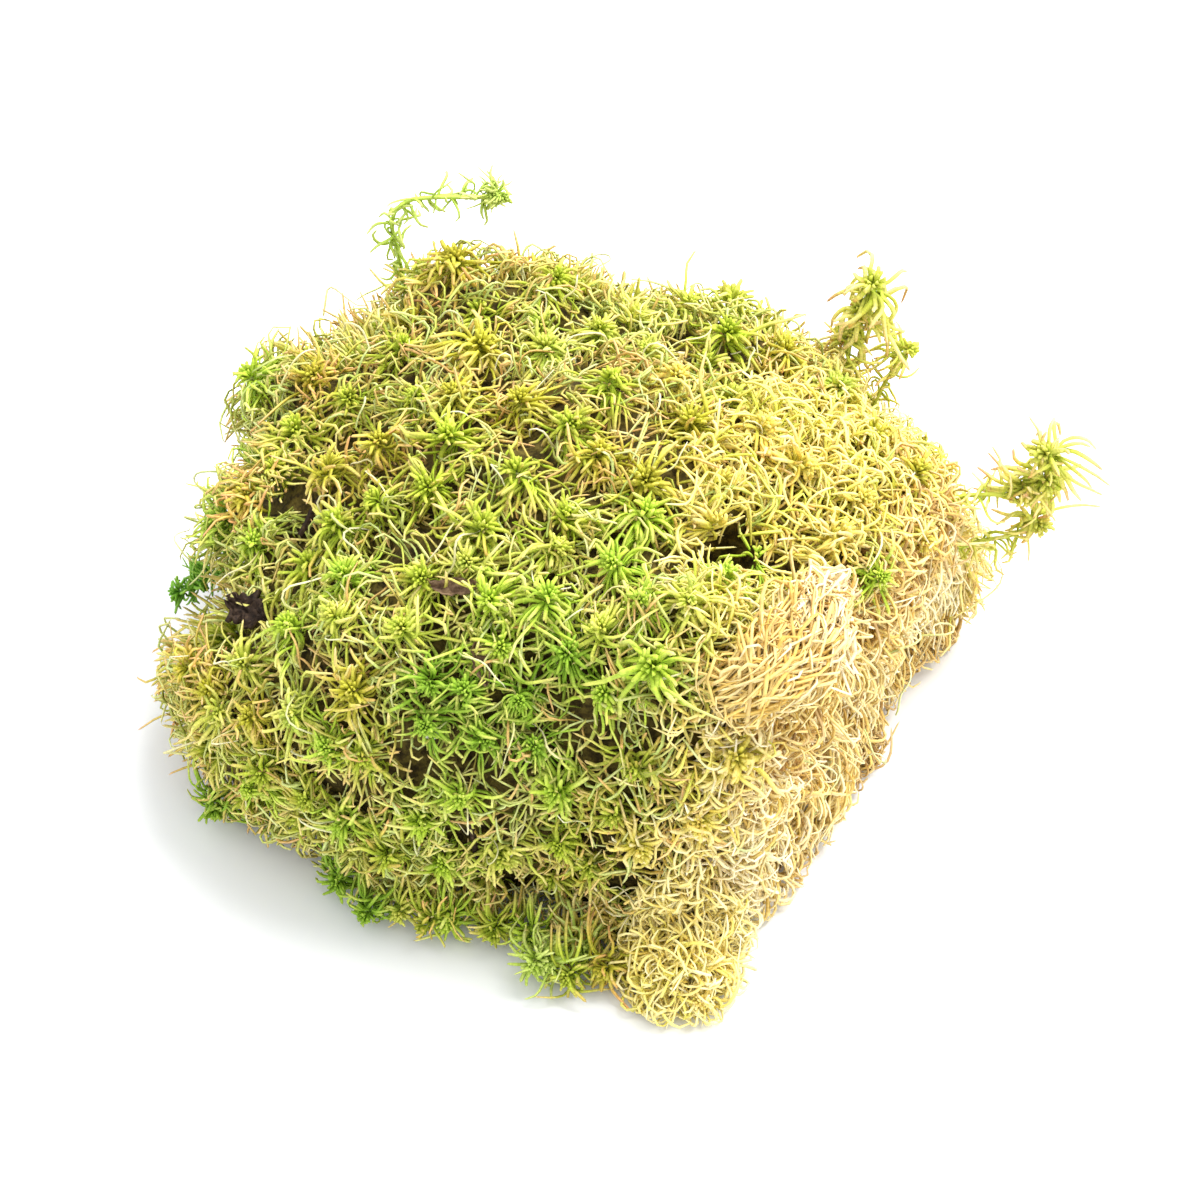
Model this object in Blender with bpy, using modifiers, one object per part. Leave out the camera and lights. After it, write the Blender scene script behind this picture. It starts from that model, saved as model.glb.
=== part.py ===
"""A clump of bog moss, torn from the ground and set down on a table.

Metres, +Z up, +X to the right and +Y away from the viewer. The origin is on the table, under the
middle of the clump. Living shoots with star-shaped heads cover the top, the left and the front. The
torn side at the right shows the pale dead stems below them. Single shoots stand out of the mass,
and bits of litter are caught in it.
"""

import math

import bmesh
import bpy
import numpy as np
from mathutils import Vector
from mathutils.geometry import delaunay_2d_cdt

MM = 0.001
GAP = 0.3 * MM
TURN = 2 * math.pi

# The mass is a heap of soft hummocks, each an ellipsoid in millimetres, that flow into each other.
# HEART is a point deep inside, from which every part of its skin can be seen.
HEART = np.array((-4.0, -2.0, 24.0)) * MM
HUMMOCKS = {
    "middle": ((-2, 2, 26), (60, 52, 50)),
    "back_left": ((-36, 38, 30), (36, 30, 36)),
    "back": ((-12, 46, 34), (40, 26, 36)),
    "back_right": ((22, 36, 30), (34, 26, 32)),
    "left_shoulder": ((-52, 12, 36), (24, 20, 20)),
    "left": ((-52, -6, 18), (31, 32, 28)),
    "front": ((-16, -28, 24), (46, 26, 42)),
    "corner": ((15, -38, 22), (26, 22, 50)),
    "right": ((38, 8, 26), (32, 36, 34)),
    "lobe": ((61, 20, 14), (17, 14, 17)),
}
HUMMOCK_BLEND = 9.0
HUMMOCK_DEPTH = 50 * MM
FARTHEST_REACH = 115 * MM

# The torn side: a nearly upright plane whose edge is rounded.
TORN_SIDE_FACES = np.array((0.855, -0.52, 0.03))
TORN_SIDE_POINT = np.array((22.5, -69.0, 0.0)) * MM
TORN_EDGE_SHARPNESS = 700.0

# Behind the torn side the dead stems run this deep, up to a wavy upright sheet.
STRAW_SHEET_FACES = np.array((0.82, -0.572, 0.0))
STRAW_SHEET_POINT = np.array((7.0, -56.0, 0.0)) * MM
STRAW_SHEET_WAVE = 2.2 * MM
STRAW_SHEET_WAVELENGTH = 46 * MM

# The photograph's view, in which the heads and the litter are placed by pixels of a 1200 px frame.
VIEW_TILT = math.radians(45.0)
VIEW_DISTANCE = 0.55
VIEW_AIM = np.array((0.0, 0.0, 0.030))
VIEW_FOCAL_PX = 2973.0
FRAME_MIDDLE_PX = 600.0

# A head is a star of arms that droop from its crown. The gaps between the arms are deep.
HEAD_ARMS = 6
HEAD_RADII = {"large": 8.5 * MM, "middling": 6.6 * MM, "small": 4.8 * MM}
HEAD_SPACING_SHARE = 0.49
CROWN_RISE = 2.0 * MM
ARM_TIP_DEPTH = 2.0 * MM
ARM_GAP_DEPTH = 4.4 * MM
ARM_GAP_PLACE = 0.55
VALLEY_DEPTH = 5.6 * MM
VALLEY_SPACING = 9 * MM
HIDDEN_HEAD_SPACING = 12.5 * MM
LEAST_HEAD_SPACING = 8.5 * MM
LOWEST_HEAD = 7 * MM
RIM_POINTS = 84
RIM_RUFFLE = 1.2 * MM

HEADS_SEEN_PX = {
    "large": (
        (458, 270), (727, 335), (481, 351), (291, 423), (451, 438), (483, 530), (645, 482),
        (654, 664), (240, 493), (700, 412), (875, 431), (557, 276), (557, 793),
    ),
    "middling": (
        (784, 352), (838, 386), (914, 473), (256, 380), (310, 372), (404, 396), (383, 452),
        (332, 471), (338, 525), (430, 492), (517, 475), (567, 514), (570, 428), (645, 525),
        (557, 558), (614, 570), (252, 541), (305, 562), (344, 580), (420, 575), (491, 600),
        (549, 605), (690, 602), (289, 625), (339, 622), (500, 652), (567, 656), (604, 700),
        (242, 662), (179, 670), (354, 690), (430, 686), (216, 714), (297, 718), (193, 753),
        (263, 772), (307, 800), (360, 758), (344, 824), (420, 824), (391, 850), (443, 872),
        (503, 857), (635, 772), (588, 867), (404, 628), (636, 352), (734, 298), (545, 348),
        (640, 305), (614, 350), (760, 430), (600, 310), (400, 330), (360, 370),
    ),
    "small": (
        (206, 516), (252, 718), (428, 726), (486, 737), (467, 690), (459, 795), (614, 622),
        (750, 555), (727, 573), (380, 503), (448, 396), (209, 806), (339, 879), (371, 900),
        (468, 563), (517, 560),
    ),
}

# A dark hollow between the heads, at the top of the torn side.
HOLLOW_PX = (738, 540)
HOLLOW_RADIUS = 8 * MM
HOLLOW_DEPTH = 9 * MM

# The dead stems lie combed down the torn side, as ridges with furrows between them.
STEM_RIDGE_SPACING = 7.4 * MM
STEM_RIDGE_START = -14 * MM
STEM_RIDGE_COUNT = 19
STEM_RIDGE_STEP = 7.5 * MM
STEM_RIDGE_STEPS = 13
STEM_RIDGE_SWAY = 1.6 * MM
FURROW_DEPTH = 3.4 * MM
RIDGE_KNOLL = 1.6 * MM
STRAW_VALLEY_SPACING = 22 * MM

# A tuft of dead and living shoots lies on the table at the near corner.
TUFT_HUMMOCK = {"tuft": ((14.5, -63.5, 1.0), (11.5, 11.5, 13.0))}
TUFT_HEART = np.array((14.5, -63.5, 2.0)) * MM
TUFT_HEADS = ((0, 0), (0.62, 20), (0.62, 95), (0.62, 160), (0.66, 230), (0.62, 300))
TUFT_HEAD_RADIUS = 5.2 * MM
TUFT_RIM_POINTS = 26
TUFT_CLEARANCE = 1.9

# A lock of pale stems is folded over the top of the torn side.
LOCK_PATH_PX = ((836, 596), (818, 607), (795, 632), (770, 660), (745, 686), (722, 708))
LOCK_LIFTS = (-1.5, 2.6, 3.6, 3.4, 2.6, -1.0)
LOCK_WIDTH = 15.5 * MM
LOCK_THICKNESS = 8.5 * MM
LOCK_FLUTES = 6
LOCK_FLUTE_DEPTH = 0.13

# Single shoots: the route of the stem in millimetres, root first, the reach of the side branches
# and the radius of the head at its end.
SHOOTS = {
    "top_left_shoot": (
        ((-37, 54, 50), (-37.6, 58, 58), (-38.6, 58, 66), (-39.2, 58, 73), (-36.5, 58, 77.5),
         (-31, 58, 78.6), (-22.5, 58, 78.6), (-18.4, 58, 79.0)), 4.2, 6.0),
    "upper_right_shoot": (
        ((44, 34, 44), (46, 37, 52), (47, 39.5, 60), (48.6, 40, 66.5), (50.2, 40, 72)), 4.6, 8.6),
    "upper_right_small_shoot": (
        ((49, 34, 40), (52.5, 37.5, 46), (55, 39.5, 51), (57.8, 40, 56.5)), 3.0, 4.6),
    "right_long_shoot": (
        ((60, 12, 38), (65.5, 14.5, 42), (71.5, 15, 42.6), (77.5, 15, 42.8), (82.4, 15, 46.5),
         (81.8, 15.4, 52.5)), 5.0, 7.6),
    "right_low_shoot": (
        ((65, 12, 30), (71, 13.5, 32), (77, 14.5, 32.6), (82, 15, 35.6)), 4.4, 4.4),
    "left_dark_shoot": (
        ((-60, 10, 34.5), (-66, 8.6, 32.6), (-71, 7.6, 29.4), (-75.5, 7, 26.6), (-79, 7, 25.2)),
        2.4, 4.6),
    "front_shoot": (
        ((3, -52, 7.4), (0.5, -57.5, 5.4), (-3, -61.5, 4.9), (-7, -64.4, 5.1),
         (-11.6, -66.2, 6.4)), 4.4, 6.0),
}
SHOOT_STEM_RADIUS = 0.75 * MM
SHOOT_SIDES = 4
WHORL_SPACING = 4.8 * MM
WHORL_LEAN = 1.5 * MM
ROOT_LENGTH = 6.5 * MM

# Litter caught in the moss.
TWIGS = {
    "dark_twig": (((322, 487), (309, 503), (302, 519), (294, 532)), 0.85, "bark"),
    "brown_twig": (((468, 816), (471, 838), (474, 858), (477, 879)), 0.7, "bark"),
    "grey_twig": (((709, 867), (721, 860), (733, 855), (744, 849)), 0.6, "grey_bark"),
}
LITTER_SINK = 1.8 * MM
FLAKES = {
    "bark_flake": ((247, 608), (8.5, 5.5, 1.4), 35, "bark"),
    "dried_leaf_upper": ((455, 586), (7.5, 3.6, 0.8), 20, "dried_leaf"),
    "dried_leaf_lower": ((481, 664), (6.6, 3.0, 0.8), 110, "dried_leaf"),
}
FLAKE_CURL = 0.22
SEED_PX = (430, 737)
SEED_RADII = (1.7 * MM, 1.3 * MM, 1.2 * MM)

COLOURS = {
    "living_moss": ((0.42, 0.47, 0.08), 0.75),
    "shoot_moss": ((0.60, 0.60, 0.20), 0.75),
    "dead_stems": ((0.80, 0.64, 0.33), 0.8),
    "pale_stems": ((0.86, 0.72, 0.46), 0.8),
    "dark_moss": ((0.16, 0.32, 0.05), 0.75),
    "bark": ((0.09, 0.055, 0.03), 0.85),
    "grey_bark": ((0.24, 0.20, 0.15), 0.85),
    "dried_leaf": ((0.33, 0.20, 0.10), 0.8),
    "seed_husk": ((0.80, 0.79, 0.74), 0.5),
}


def clear_scene():
    for thing in list(bpy.data.objects):
        bpy.data.objects.remove(thing, do_unlink=True)


def new_collection(name):
    collection = bpy.data.collections.new(name)
    bpy.context.scene.collection.children.link(collection)
    return collection


def finish(name):
    colour, roughness = COLOURS[name]
    material = bpy.data.materials.new(name)
    material.use_nodes = True
    shader = material.node_tree.nodes["Principled BSDF"]
    shader.inputs["Base Color"].default_value = (*colour, 1.0)
    shader.inputs["Roughness"].default_value = roughness
    shader.inputs["Metallic"].default_value = 0.0
    return material


def add_piece(name, mesh, collection, material=None):
    piece = bpy.data.objects.new(name, mesh)
    if material:
        mesh.materials.clear()
        mesh.materials.append(material)
    collection.objects.link(piece)
    return piece


def as_cutter(cutter):
    cutter.hide_render = True
    cutter.display_type = "WIRE"
    return cutter


def unit(vectors):
    return vectors / np.linalg.norm(vectors, axis=-1, keepdims=True)


def depth_in_hummocks(points, hummocks):
    total = 0.0
    for centre, radii in hummocks.values():
        scaled = (points - np.array(centre) * MM) / (np.array(radii) * MM)
        total = total + np.exp(-HUMMOCK_BLEND * (np.linalg.norm(scaled, axis=-1) - 1))
    return np.log(total) / HUMMOCK_BLEND * HUMMOCK_DEPTH


def depth_in_mass(points):
    """Over zero inside the mass, and falling outwards."""
    soft = depth_in_hummocks(points, HUMMOCKS)
    torn = (TORN_SIDE_POINT - points) @ unit(TORN_SIDE_FACES)
    sharp = TORN_EDGE_SHARPNESS
    return -np.log(np.exp(-sharp * soft) + np.exp(-sharp * torn)) / sharp


def depth_in_tuft(points):
    return depth_in_hummocks(points, TUFT_HUMMOCK)


def skin_along(directions, heart, depth):
    """The outermost point of a skin in each direction from its heart."""
    coarse = np.linspace(FARTHEST_REACH, 2 * MM, 120)
    near = np.full(len(directions), 2 * MM)
    for reach in coarse:
        inside = depth(heart + directions * reach) > 0
        near = np.where(inside & (near < reach), reach, near)
    far = near + (coarse[0] - coarse[1])
    for _ in range(12):
        middle = (near + far) / 2
        inside = depth(heart + directions * middle[:, None]) > 0
        near, far = np.where(inside, middle, near), np.where(inside, far, middle)
    return heart + directions * near[:, None]


def outward(points, depth):
    """The outward normal of a skin at each point."""
    step = 0.5 * MM
    slope = [
        depth(points + np.eye(3)[axis] * step) - depth(points - np.eye(3)[axis] * step)
        for axis in range(3)
    ]
    return unit(-np.stack(slope, -1))


def to_chart(points, heart):
    """Lays directions from the heart flat: straight up is the middle of the chart."""
    x, y, z = unit(np.asarray(points) - heart).T
    fall, around = np.arccos(np.clip(z, -1, 1)), np.arctan2(y, x)
    return np.stack([fall * np.cos(around), fall * np.sin(around)], -1)


def from_chart(places):
    fall, around = np.hypot(*places.T), np.arctan2(places[:, 1], places[:, 0])
    return np.stack([np.sin(fall) * np.cos(around), np.sin(fall) * np.sin(around), np.cos(fall)], -1)


def rim_of(heart, depth, count):
    """The closed line where a skin meets the table, and its distance from the chart's middle."""
    around = np.arange(count) / count * TURN
    low, high = np.full(count, math.radians(60)), np.full(count, math.radians(170))
    for _ in range(24):
        fall = (low + high) / 2
        directions = np.stack([np.sin(fall) * np.cos(around), np.sin(fall) * np.sin(around),
                               np.cos(fall)], -1)
        over = skin_along(directions, heart, depth)[:, 2] > 0
        low, high = np.where(over, fall, low), np.where(over, high, fall)
    rim = skin_along(directions, heart, depth)
    middle = rim.mean(0)
    ruffle = RIM_RUFFLE * np.cos(np.arange(count) * math.pi) * (1 + np.sin(5 * around)) / 2
    rim = rim + unit(rim - middle) * ruffle[:, None]
    rim[:, 2] = 0.0
    return rim


def sight_line(pixel):
    forward = np.array((0.0, math.cos(VIEW_TILT), -math.sin(VIEW_TILT)))
    up = np.array((0.0, math.sin(VIEW_TILT), math.cos(VIEW_TILT)))
    right = np.array((1.0, 0.0, 0.0))
    eye = VIEW_AIM - forward * VIEW_DISTANCE
    across = (pixel[0] - FRAME_MIDDLE_PX) / VIEW_FOCAL_PX
    over = (FRAME_MIDDLE_PX - pixel[1]) / VIEW_FOCAL_PX
    return eye, unit(forward + right * across + up * over)


def seen_on_mass(pixel):
    """The point of the mass that the photograph shows at this pixel, or the nearest to it."""
    eye, line = sight_line(pixel)
    points = eye + line * np.arange(0.40, 0.70, 0.5 * MM)[:, None]
    depth = depth_in_mass(points)
    hits = np.flatnonzero(depth > 0)
    point = points[hits[0] if len(hits) else depth.argmax()]
    return skin_along(unit(point - HEART)[None], HEART, depth_in_mass)[0]


def across_from(normal):
    """Two directions square to a normal and to each other, the first as level as it can be."""
    level = np.cross((0.0, 0.0, 1.0), normal)
    if np.linalg.norm(level) < 1e-3:
        level = np.array((1.0, 0.0, 0.0))
    level = unit(level)
    return level, np.cross(normal, level)


def behind_sheet(points):
    """How far points lie behind the straw sheet, on the side of the living moss."""
    faces = unit(STRAW_SHEET_FACES)
    along = np.array((-faces[1], faces[0], 0.0))
    offset = points - STRAW_SHEET_POINT
    wave = STRAW_SHEET_WAVE * np.sin(TURN * (offset @ along) / STRAW_SHEET_WAVELENGTH)
    return wave - offset @ faces


def living_heads():
    """The middle and radius of each head on the mass: first those seen, then hidden ones."""
    middles, radii = [], []
    for size, pixels in HEADS_SEEN_PX.items():
        for pixel in pixels:
            point = seen_on_mass(pixel)
            if middles and min(np.linalg.norm(middles - point, axis=1)) < LEAST_HEAD_SPACING:
                continue
            middles.append(point)
            radii.append(HEAD_RADII[size])
    count = 1400
    index = np.arange(count) + 0.5
    fall, around = np.arccos(1 - 1.75 * index / count), index * math.pi * (1 + 5**0.5)
    directions = np.stack([np.sin(fall) * np.cos(around), np.sin(fall) * np.sin(around),
                           np.cos(fall)], -1)
    for point in skin_along(directions, HEART, depth_in_mass):
        if point[2] < LOWEST_HEAD:
            continue
        if min(np.linalg.norm(middles - point, axis=1)) > HIDDEN_HEAD_SPACING:
            middles.append(point)
            radii.append(HEAD_RADII["middling"])
    middles, radii = np.array(middles), np.array(radii)
    kept = (behind_sheet(middles) > -4 * MM) & (middles[:, 2] > 0.6 * LOWEST_HEAD)
    return middles[kept], radii[kept]


def fitted_radii(middles, radii):
    """Each radius, or less where a neighbour stands close, so that no two stars cross."""
    apart = np.linalg.norm(middles[:, None] - middles[None], axis=2)
    np.fill_diagonal(apart, np.inf)
    return np.minimum(radii, HEAD_SPACING_SHARE * apart.min(1))


def star_points(middles, radii, depth):
    """The points of each star with their rises, and the edges along its arms."""
    normals = outward(middles, depth)
    points, rises, edges = [], [], []
    for index, (middle, radius, normal) in enumerate(zip(middles, radii, normals)):
        level, slope = across_from(normal)
        first = len(points)
        points.append(middle)
        rises.append(CROWN_RISE)
        turn = 2.4 * index
        for corner in range(2 * HEAD_ARMS):
            angle = turn + corner * math.pi / HEAD_ARMS
            tip = corner % 2 == 0
            out = radius * (1 if tip else ARM_GAP_PLACE)
            points.append(middle + (level * math.cos(angle) + slope * math.sin(angle)) * out)
            rises.append(-ARM_TIP_DEPTH if tip else -ARM_GAP_DEPTH)
            here = first + 1 + corner
            edges.append((here, first + 1 + (corner + 1) % (2 * HEAD_ARMS)))
            if tip:
                edges.append((first, here))
    return points, rises, edges


def valley_points(middles, radii, spacing, heart, depth, count=2600):
    """Points spread over the skin between the stars."""
    index = np.arange(count) + 0.5
    fall, around = np.arccos(1 - 1.8 * index / count), index * math.pi * (1 + 5**0.5)
    directions = np.stack([np.sin(fall) * np.cos(around), np.sin(fall) * np.sin(around),
                           np.cos(fall)], -1)
    kept = []
    for point in skin_along(directions, heart, depth):
        if point[2] < 2.5 * MM:
            continue
        if len(middles) and (np.linalg.norm(middles - point, axis=1) < radii * 1.12).any():
            continue
        if kept and np.linalg.norm(np.array(kept) - point, axis=1).min() < spacing:
            continue
        kept.append(point)
    return kept


def mound_mesh(name, heart, depth, rim_count, points, rises, edges):
    """A closed mound: its skin through these points, each lifted by its rise, and a flat base."""
    rim = rim_of(heart, depth, rim_count)
    rim_chart = to_chart(rim, heart)
    chart = to_chart(np.array(points), heart)
    around = np.arctan2(*chart.T[::-1])
    rim_around = np.arctan2(*rim_chart.T[::-1])
    order = np.argsort(rim_around)
    limit = np.interp(around, rim_around[order], np.hypot(*rim_chart[order].T), period=TURN)
    room = np.hypot(*chart.T) < limit - 0.045
    new_index = np.cumsum(room) - 1 + rim_count
    places = [Vector(p) for p in np.concatenate([rim_chart, chart[room]])]
    links = [(i, (i + 1) % rim_count) for i in range(rim_count)]
    links += [(int(new_index[a]), int(new_index[b])) for a, b in edges if room[a] and room[b]]
    flat, _, faces, sources, _, _ = delaunay_2d_cdt(places, links, [], 1, 1e-5)

    skin = skin_along(from_chart(np.array([tuple(p) for p in flat])), heart, depth)
    normals = outward(skin, depth)
    kept_rises = np.concatenate([np.zeros(rim_count), np.array(rises)[room]])
    rise = np.array([kept_rises[s[0]] if s else 0.0 for s in sources])
    skin = skin + normals * rise[:, None]
    skin[:, 2] = np.maximum(skin[:, 2], 1.2 * MM)
    rim_of_source = {s[0]: i for i, s in enumerate(sources) if s and s[0] < rim_count}
    for source, here in rim_of_source.items():
        skin[here] = rim[source]

    shape = bmesh.new()
    corners = [shape.verts.new(point) for point in skin]
    for face in faces:
        shape.faces.new([corners[i] for i in face])
    base = bmesh.ops.contextual_create(
        shape, geom=[edge for edge in shape.edges if edge.is_boundary])
    bmesh.ops.triangulate(shape, faces=base["faces"])
    bmesh.ops.recalc_face_normals(shape, faces=shape.faces)
    if shape.calc_volume(signed=True) < 0:
        bmesh.ops.reverse_faces(shape, faces=shape.faces)
    mesh = bpy.data.meshes.new(name)
    shape.to_mesh(mesh)
    shape.free()
    return mesh


def living_cushion_mesh():
    """The mass of living shoots, a star for every head."""
    middles, radii = living_heads()
    radii = fitted_radii(middles, radii)
    points, rises, edges = star_points(middles, radii, depth_in_mass)
    for valley in valley_points(middles, radii, VALLEY_SPACING, HEART, depth_in_mass):
        points.append(valley)
        rises.append(-VALLEY_DEPTH)
    hollow = seen_on_mass(HOLLOW_PX)
    away = np.linalg.norm(np.array(points) - hollow, axis=1) / HOLLOW_RADIUS
    rises = np.array(rises) - HOLLOW_DEPTH * np.exp(-away**2)
    return mound_mesh("living_cushion", HEART, depth_in_mass, RIM_POINTS, points, rises, edges)


def straw_side_mesh():
    """The same mass, with ridges of combed stems down its torn side."""
    faces = unit(TORN_SIDE_FACES)
    along = unit(np.array((-faces[1], faces[0], 0.0)))
    guides, rises, edges = [], [], []
    for ridge in range(2 * STEM_RIDGE_COUNT):
        furrow = ridge % 2 == 1
        for step in range(STEM_RIDGE_STEPS):
            height = (step + 0.6) * STEM_RIDGE_STEP
            sway = STEM_RIDGE_SWAY * math.sin(0.9 * step + 0.7 * ridge)
            place = STEM_RIDGE_START + ridge * STEM_RIDGE_SPACING / 2 + sway
            guide = TORN_SIDE_POINT + along * place
            guides.append((guide[0], guide[1], height))
            knoll = RIDGE_KNOLL * math.sin(1.7 * step + 2.3 * ridge)
            rises.append(-FURROW_DEPTH if furrow else -RIDGE_KNOLL + knoll)
            if step and not furrow:
                edges.append((len(guides) - 2, len(guides) - 1))
    directions = unit(np.array(guides) - HEART)
    points = list(skin_along(directions, HEART, depth_in_mass))
    middles = np.array(points)
    spacing = np.full(len(points), STRAW_VALLEY_SPACING)
    for valley in valley_points(middles, spacing, STRAW_VALLEY_SPACING, HEART, depth_in_mass):
        points.append(valley)
        rises.append(-VALLEY_DEPTH)
    return mound_mesh("straw_side", HEART, depth_in_mass, RIM_POINTS, points, rises, edges)


def corner_tuft_mesh():
    """The small mound of shoots on the table at the near corner."""
    directions = []
    for fall, around in TUFT_HEADS:
        fall, around = fall * math.pi / 2, math.radians(around)
        directions.append((math.sin(fall) * math.cos(around), math.sin(fall) * math.sin(around),
                           math.cos(fall)))
    middles = skin_along(np.array(directions), TUFT_HEART, depth_in_tuft)
    radii = fitted_radii(middles, np.full(len(middles), TUFT_HEAD_RADIUS))
    points, rises, edges = star_points(middles, radii, depth_in_tuft)
    rises = [rise * 0.6 for rise in rises]
    for valley in valley_points(middles, radii, 4 * MM, TUFT_HEART, depth_in_tuft, 300):
        points.append(valley)
        rises.append(-0.45 * VALLEY_DEPTH)
    return mound_mesh("corner_tuft", TUFT_HEART, depth_in_tuft, TUFT_RIM_POINTS, points, rises,
                      edges)


def straw_space(name, set_out, collection):
    """Everything in front of the straw sheet, as a cutter. set_out moves the sheet forwards."""
    faces = unit(STRAW_SHEET_FACES)
    along = np.array((-faces[1], faces[0], 0.0))
    shape = bmesh.new()
    bmesh.ops.create_grid(shape, x_segments=26, y_segments=1, size=0.5)
    for corner in shape.verts:
        run, height = corner.co.x * 0.36, corner.co.y * 0.24
        wave = STRAW_SHEET_WAVE * math.sin(TURN * run / STRAW_SHEET_WAVELENGTH)
        place = STRAW_SHEET_POINT + along * run + faces * (wave + set_out)
        corner.co = (place[0], place[1], height)
    front = bmesh.ops.extrude_face_region(shape, geom=shape.faces[:])
    moved = [part for part in front["geom"] if isinstance(part, bmesh.types.BMVert)]
    bmesh.ops.translate(shape, verts=moved, vec=Vector(faces * 0.16))
    bmesh.ops.recalc_face_normals(shape, faces=shape.faces)
    mesh = bpy.data.meshes.new(name)
    shape.to_mesh(mesh)
    shape.free()
    return as_cutter(add_piece(name, mesh, collection))


def run_along(route):
    return np.concatenate([[0], np.cumsum(np.linalg.norm(np.diff(route, axis=0), axis=1))])


def smooth_route(points, count):
    """Points at even steps along a smooth curve through the given ones."""
    given = np.array(points, float)
    padded = np.concatenate([[2 * given[0] - given[1]], given, [2 * given[-1] - given[-2]]])
    dense = []
    for i in range(len(given) - 1):
        a, b, c, d = padded[i:i + 4]
        for t in np.linspace(0, 1, 24, endpoint=False):
            dense.append(0.5 * (2 * b + (c - a) * t + (2 * a - 5 * b + 4 * c - d) * t**2
                                + (3 * b - a - 3 * c + d) * t**3))
    dense.append(given[-1])
    dense = np.array(dense)
    run = run_along(dense)
    even = np.linspace(0, run[-1], count)
    return np.stack([np.interp(even, run, dense[:, axis]) for axis in range(3)], -1)


def route_frames(route):
    """Two directions square to a route at each of its points, turning as little as they can."""
    heading = unit(np.gradient(route, axis=0))
    side = unit(np.cross(heading[0], (0.31, 0.22, 0.93)))
    sides = []
    for direction in heading:
        side = unit(side - direction * (side @ direction))
        sides.append(side)
    sides = np.array(sides)
    return sides, np.cross(heading, sides), heading


def loft_mesh(name, rings, start, end):
    """A closed skin through rings of points, with a point at each end."""
    shape = bmesh.new()
    rows = [[shape.verts.new(point) for point in ring] for ring in rings]
    first, last = shape.verts.new(start), shape.verts.new(end)
    count = len(rows[0])
    for i in range(count):
        k = (i + 1) % count
        shape.faces.new((first, rows[0][k], rows[0][i]))
        shape.faces.new((last, rows[-1][i], rows[-1][k]))
        for low, high in zip(rows, rows[1:]):
            shape.faces.new((low[i], low[k], high[k], high[i]))
    bmesh.ops.triangulate(shape, faces=shape.faces)
    bmesh.ops.recalc_face_normals(shape, faces=shape.faces)
    mesh = bpy.data.meshes.new(name)
    shape.to_mesh(mesh)
    shape.free()
    return mesh


def shoot_loft(name, route_mm, rings, end_length):
    """A loft along a shoot's route. Each ring has its place along the route, how far its points
    lean along it, its radius at the branch tips and between them, and its turn."""
    route = smooth_route(np.array(route_mm) * MM, 60)
    sides, others, heading = route_frames(route)
    run = run_along(route)
    loops = []
    for place, lean, tip_radius, gap_radius, turn in rings:
        middle = np.array([np.interp(place, run, route[:, axis]) for axis in range(3)])
        middle = middle + heading[-1] * max(0.0, place - run[-1])
        at = int(np.clip(np.searchsorted(run, place), 0, len(run) - 1))
        loop = []
        for corner in range(2 * SHOOT_SIDES):
            angle = (corner + turn) * math.pi / SHOOT_SIDES
            tip = corner % 2 == 0
            out = sides[at] * math.cos(angle) + others[at] * math.sin(angle)
            radius = tip_radius if tip else gap_radius
            loop.append(middle + out * radius + heading[at] * (lean if tip else 0.0))
        loops.append(loop)
    start = route[0] - heading[0] * end_length
    end = np.mean(loops[-1], axis=0) + heading[-1] * (end_length + 0.5 * MM)
    return loft_mesh(name, loops, start, end)


def head_place(route_mm, head_radius):
    run = run_along(smooth_route(np.array(route_mm) * MM, 60))
    return run[-1] - 0.35 * head_radius


def shoot_mesh(name, route_mm, reach, head_radius):
    """A stem that carries whorls of side branches as small stars, and a head of two large ones."""
    reach, head_radius = reach * MM, head_radius * MM
    stem = SHOOT_STEM_RADIUS
    rings = [(0.0, 0.0, stem, stem, 0.0)]
    head_at = head_place(route_mm, head_radius)
    whorls = max(1, round((head_at - ROOT_LENGTH) / WHORL_SPACING))
    for index in range(whorls):
        place = ROOT_LENGTH + (head_at - ROOT_LENGTH) * index / whorls
        size = reach * (0.82 + 0.18 * math.sin(2.1 * index))
        rings += [(place - 0.5 * MM, 0.0, stem, stem, 0.0),
                  (place, WHORL_LEAN, size, stem * 1.3, 0.0),
                  (place + 0.7 * MM, 0.3 * MM, 1.3 * stem, stem, 0.0)]
    rings += [(head_at - 1.3 * MM, 0.0, stem * 1.3, stem * 1.3, 0.0),
              (head_at, -0.4 * MM, head_radius, head_radius * 0.42, 0.0),
              (head_at + 0.9 * MM, 0.0, head_radius * 0.45, head_radius * 0.36, 0.0),
              (head_at + 1.3 * MM, 0.8 * MM, head_radius * 0.68, head_radius * 0.3, 0.5),
              (head_at + 2.4 * MM, 0.6 * MM, head_radius * 0.26, head_radius * 0.2, 0.5)]
    return shoot_loft(name, route_mm, rings, 0.4 * MM)


def shoot_sleeve(name, route_mm, reach, head_radius):
    """The room that a shoot takes up: narrow round its root, wide round its branches and head."""
    head_radius = head_radius * MM
    narrow, wide = SHOOT_STEM_RADIUS * 1.05 + GAP, reach * MM + GAP
    head_at = head_place(route_mm, head_radius)
    first_whorl = ROOT_LENGTH - 0.8 * MM
    rings = [(place, 0.0, narrow, narrow, 0.0)
             for place in np.linspace(0, first_whorl - 0.5 * MM, 3)]
    rings += [(place, 0.0, wide, wide, 0.0)
              for place in np.arange(first_whorl, head_at - 1.5 * MM, 3.0 * MM)]
    rings += [(head_at - 0.9 * MM, 0.0, head_radius + GAP, head_radius + GAP, 0.0),
              (head_at + 2.4 * MM, 0.0, head_radius + GAP, head_radius + GAP, 0.0),
              (head_at + 3.6 * MM, 0.0, head_radius * 0.5, head_radius * 0.5, 0.0)]
    return shoot_loft(name, route_mm, rings, 0.4 * MM + GAP)


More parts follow.
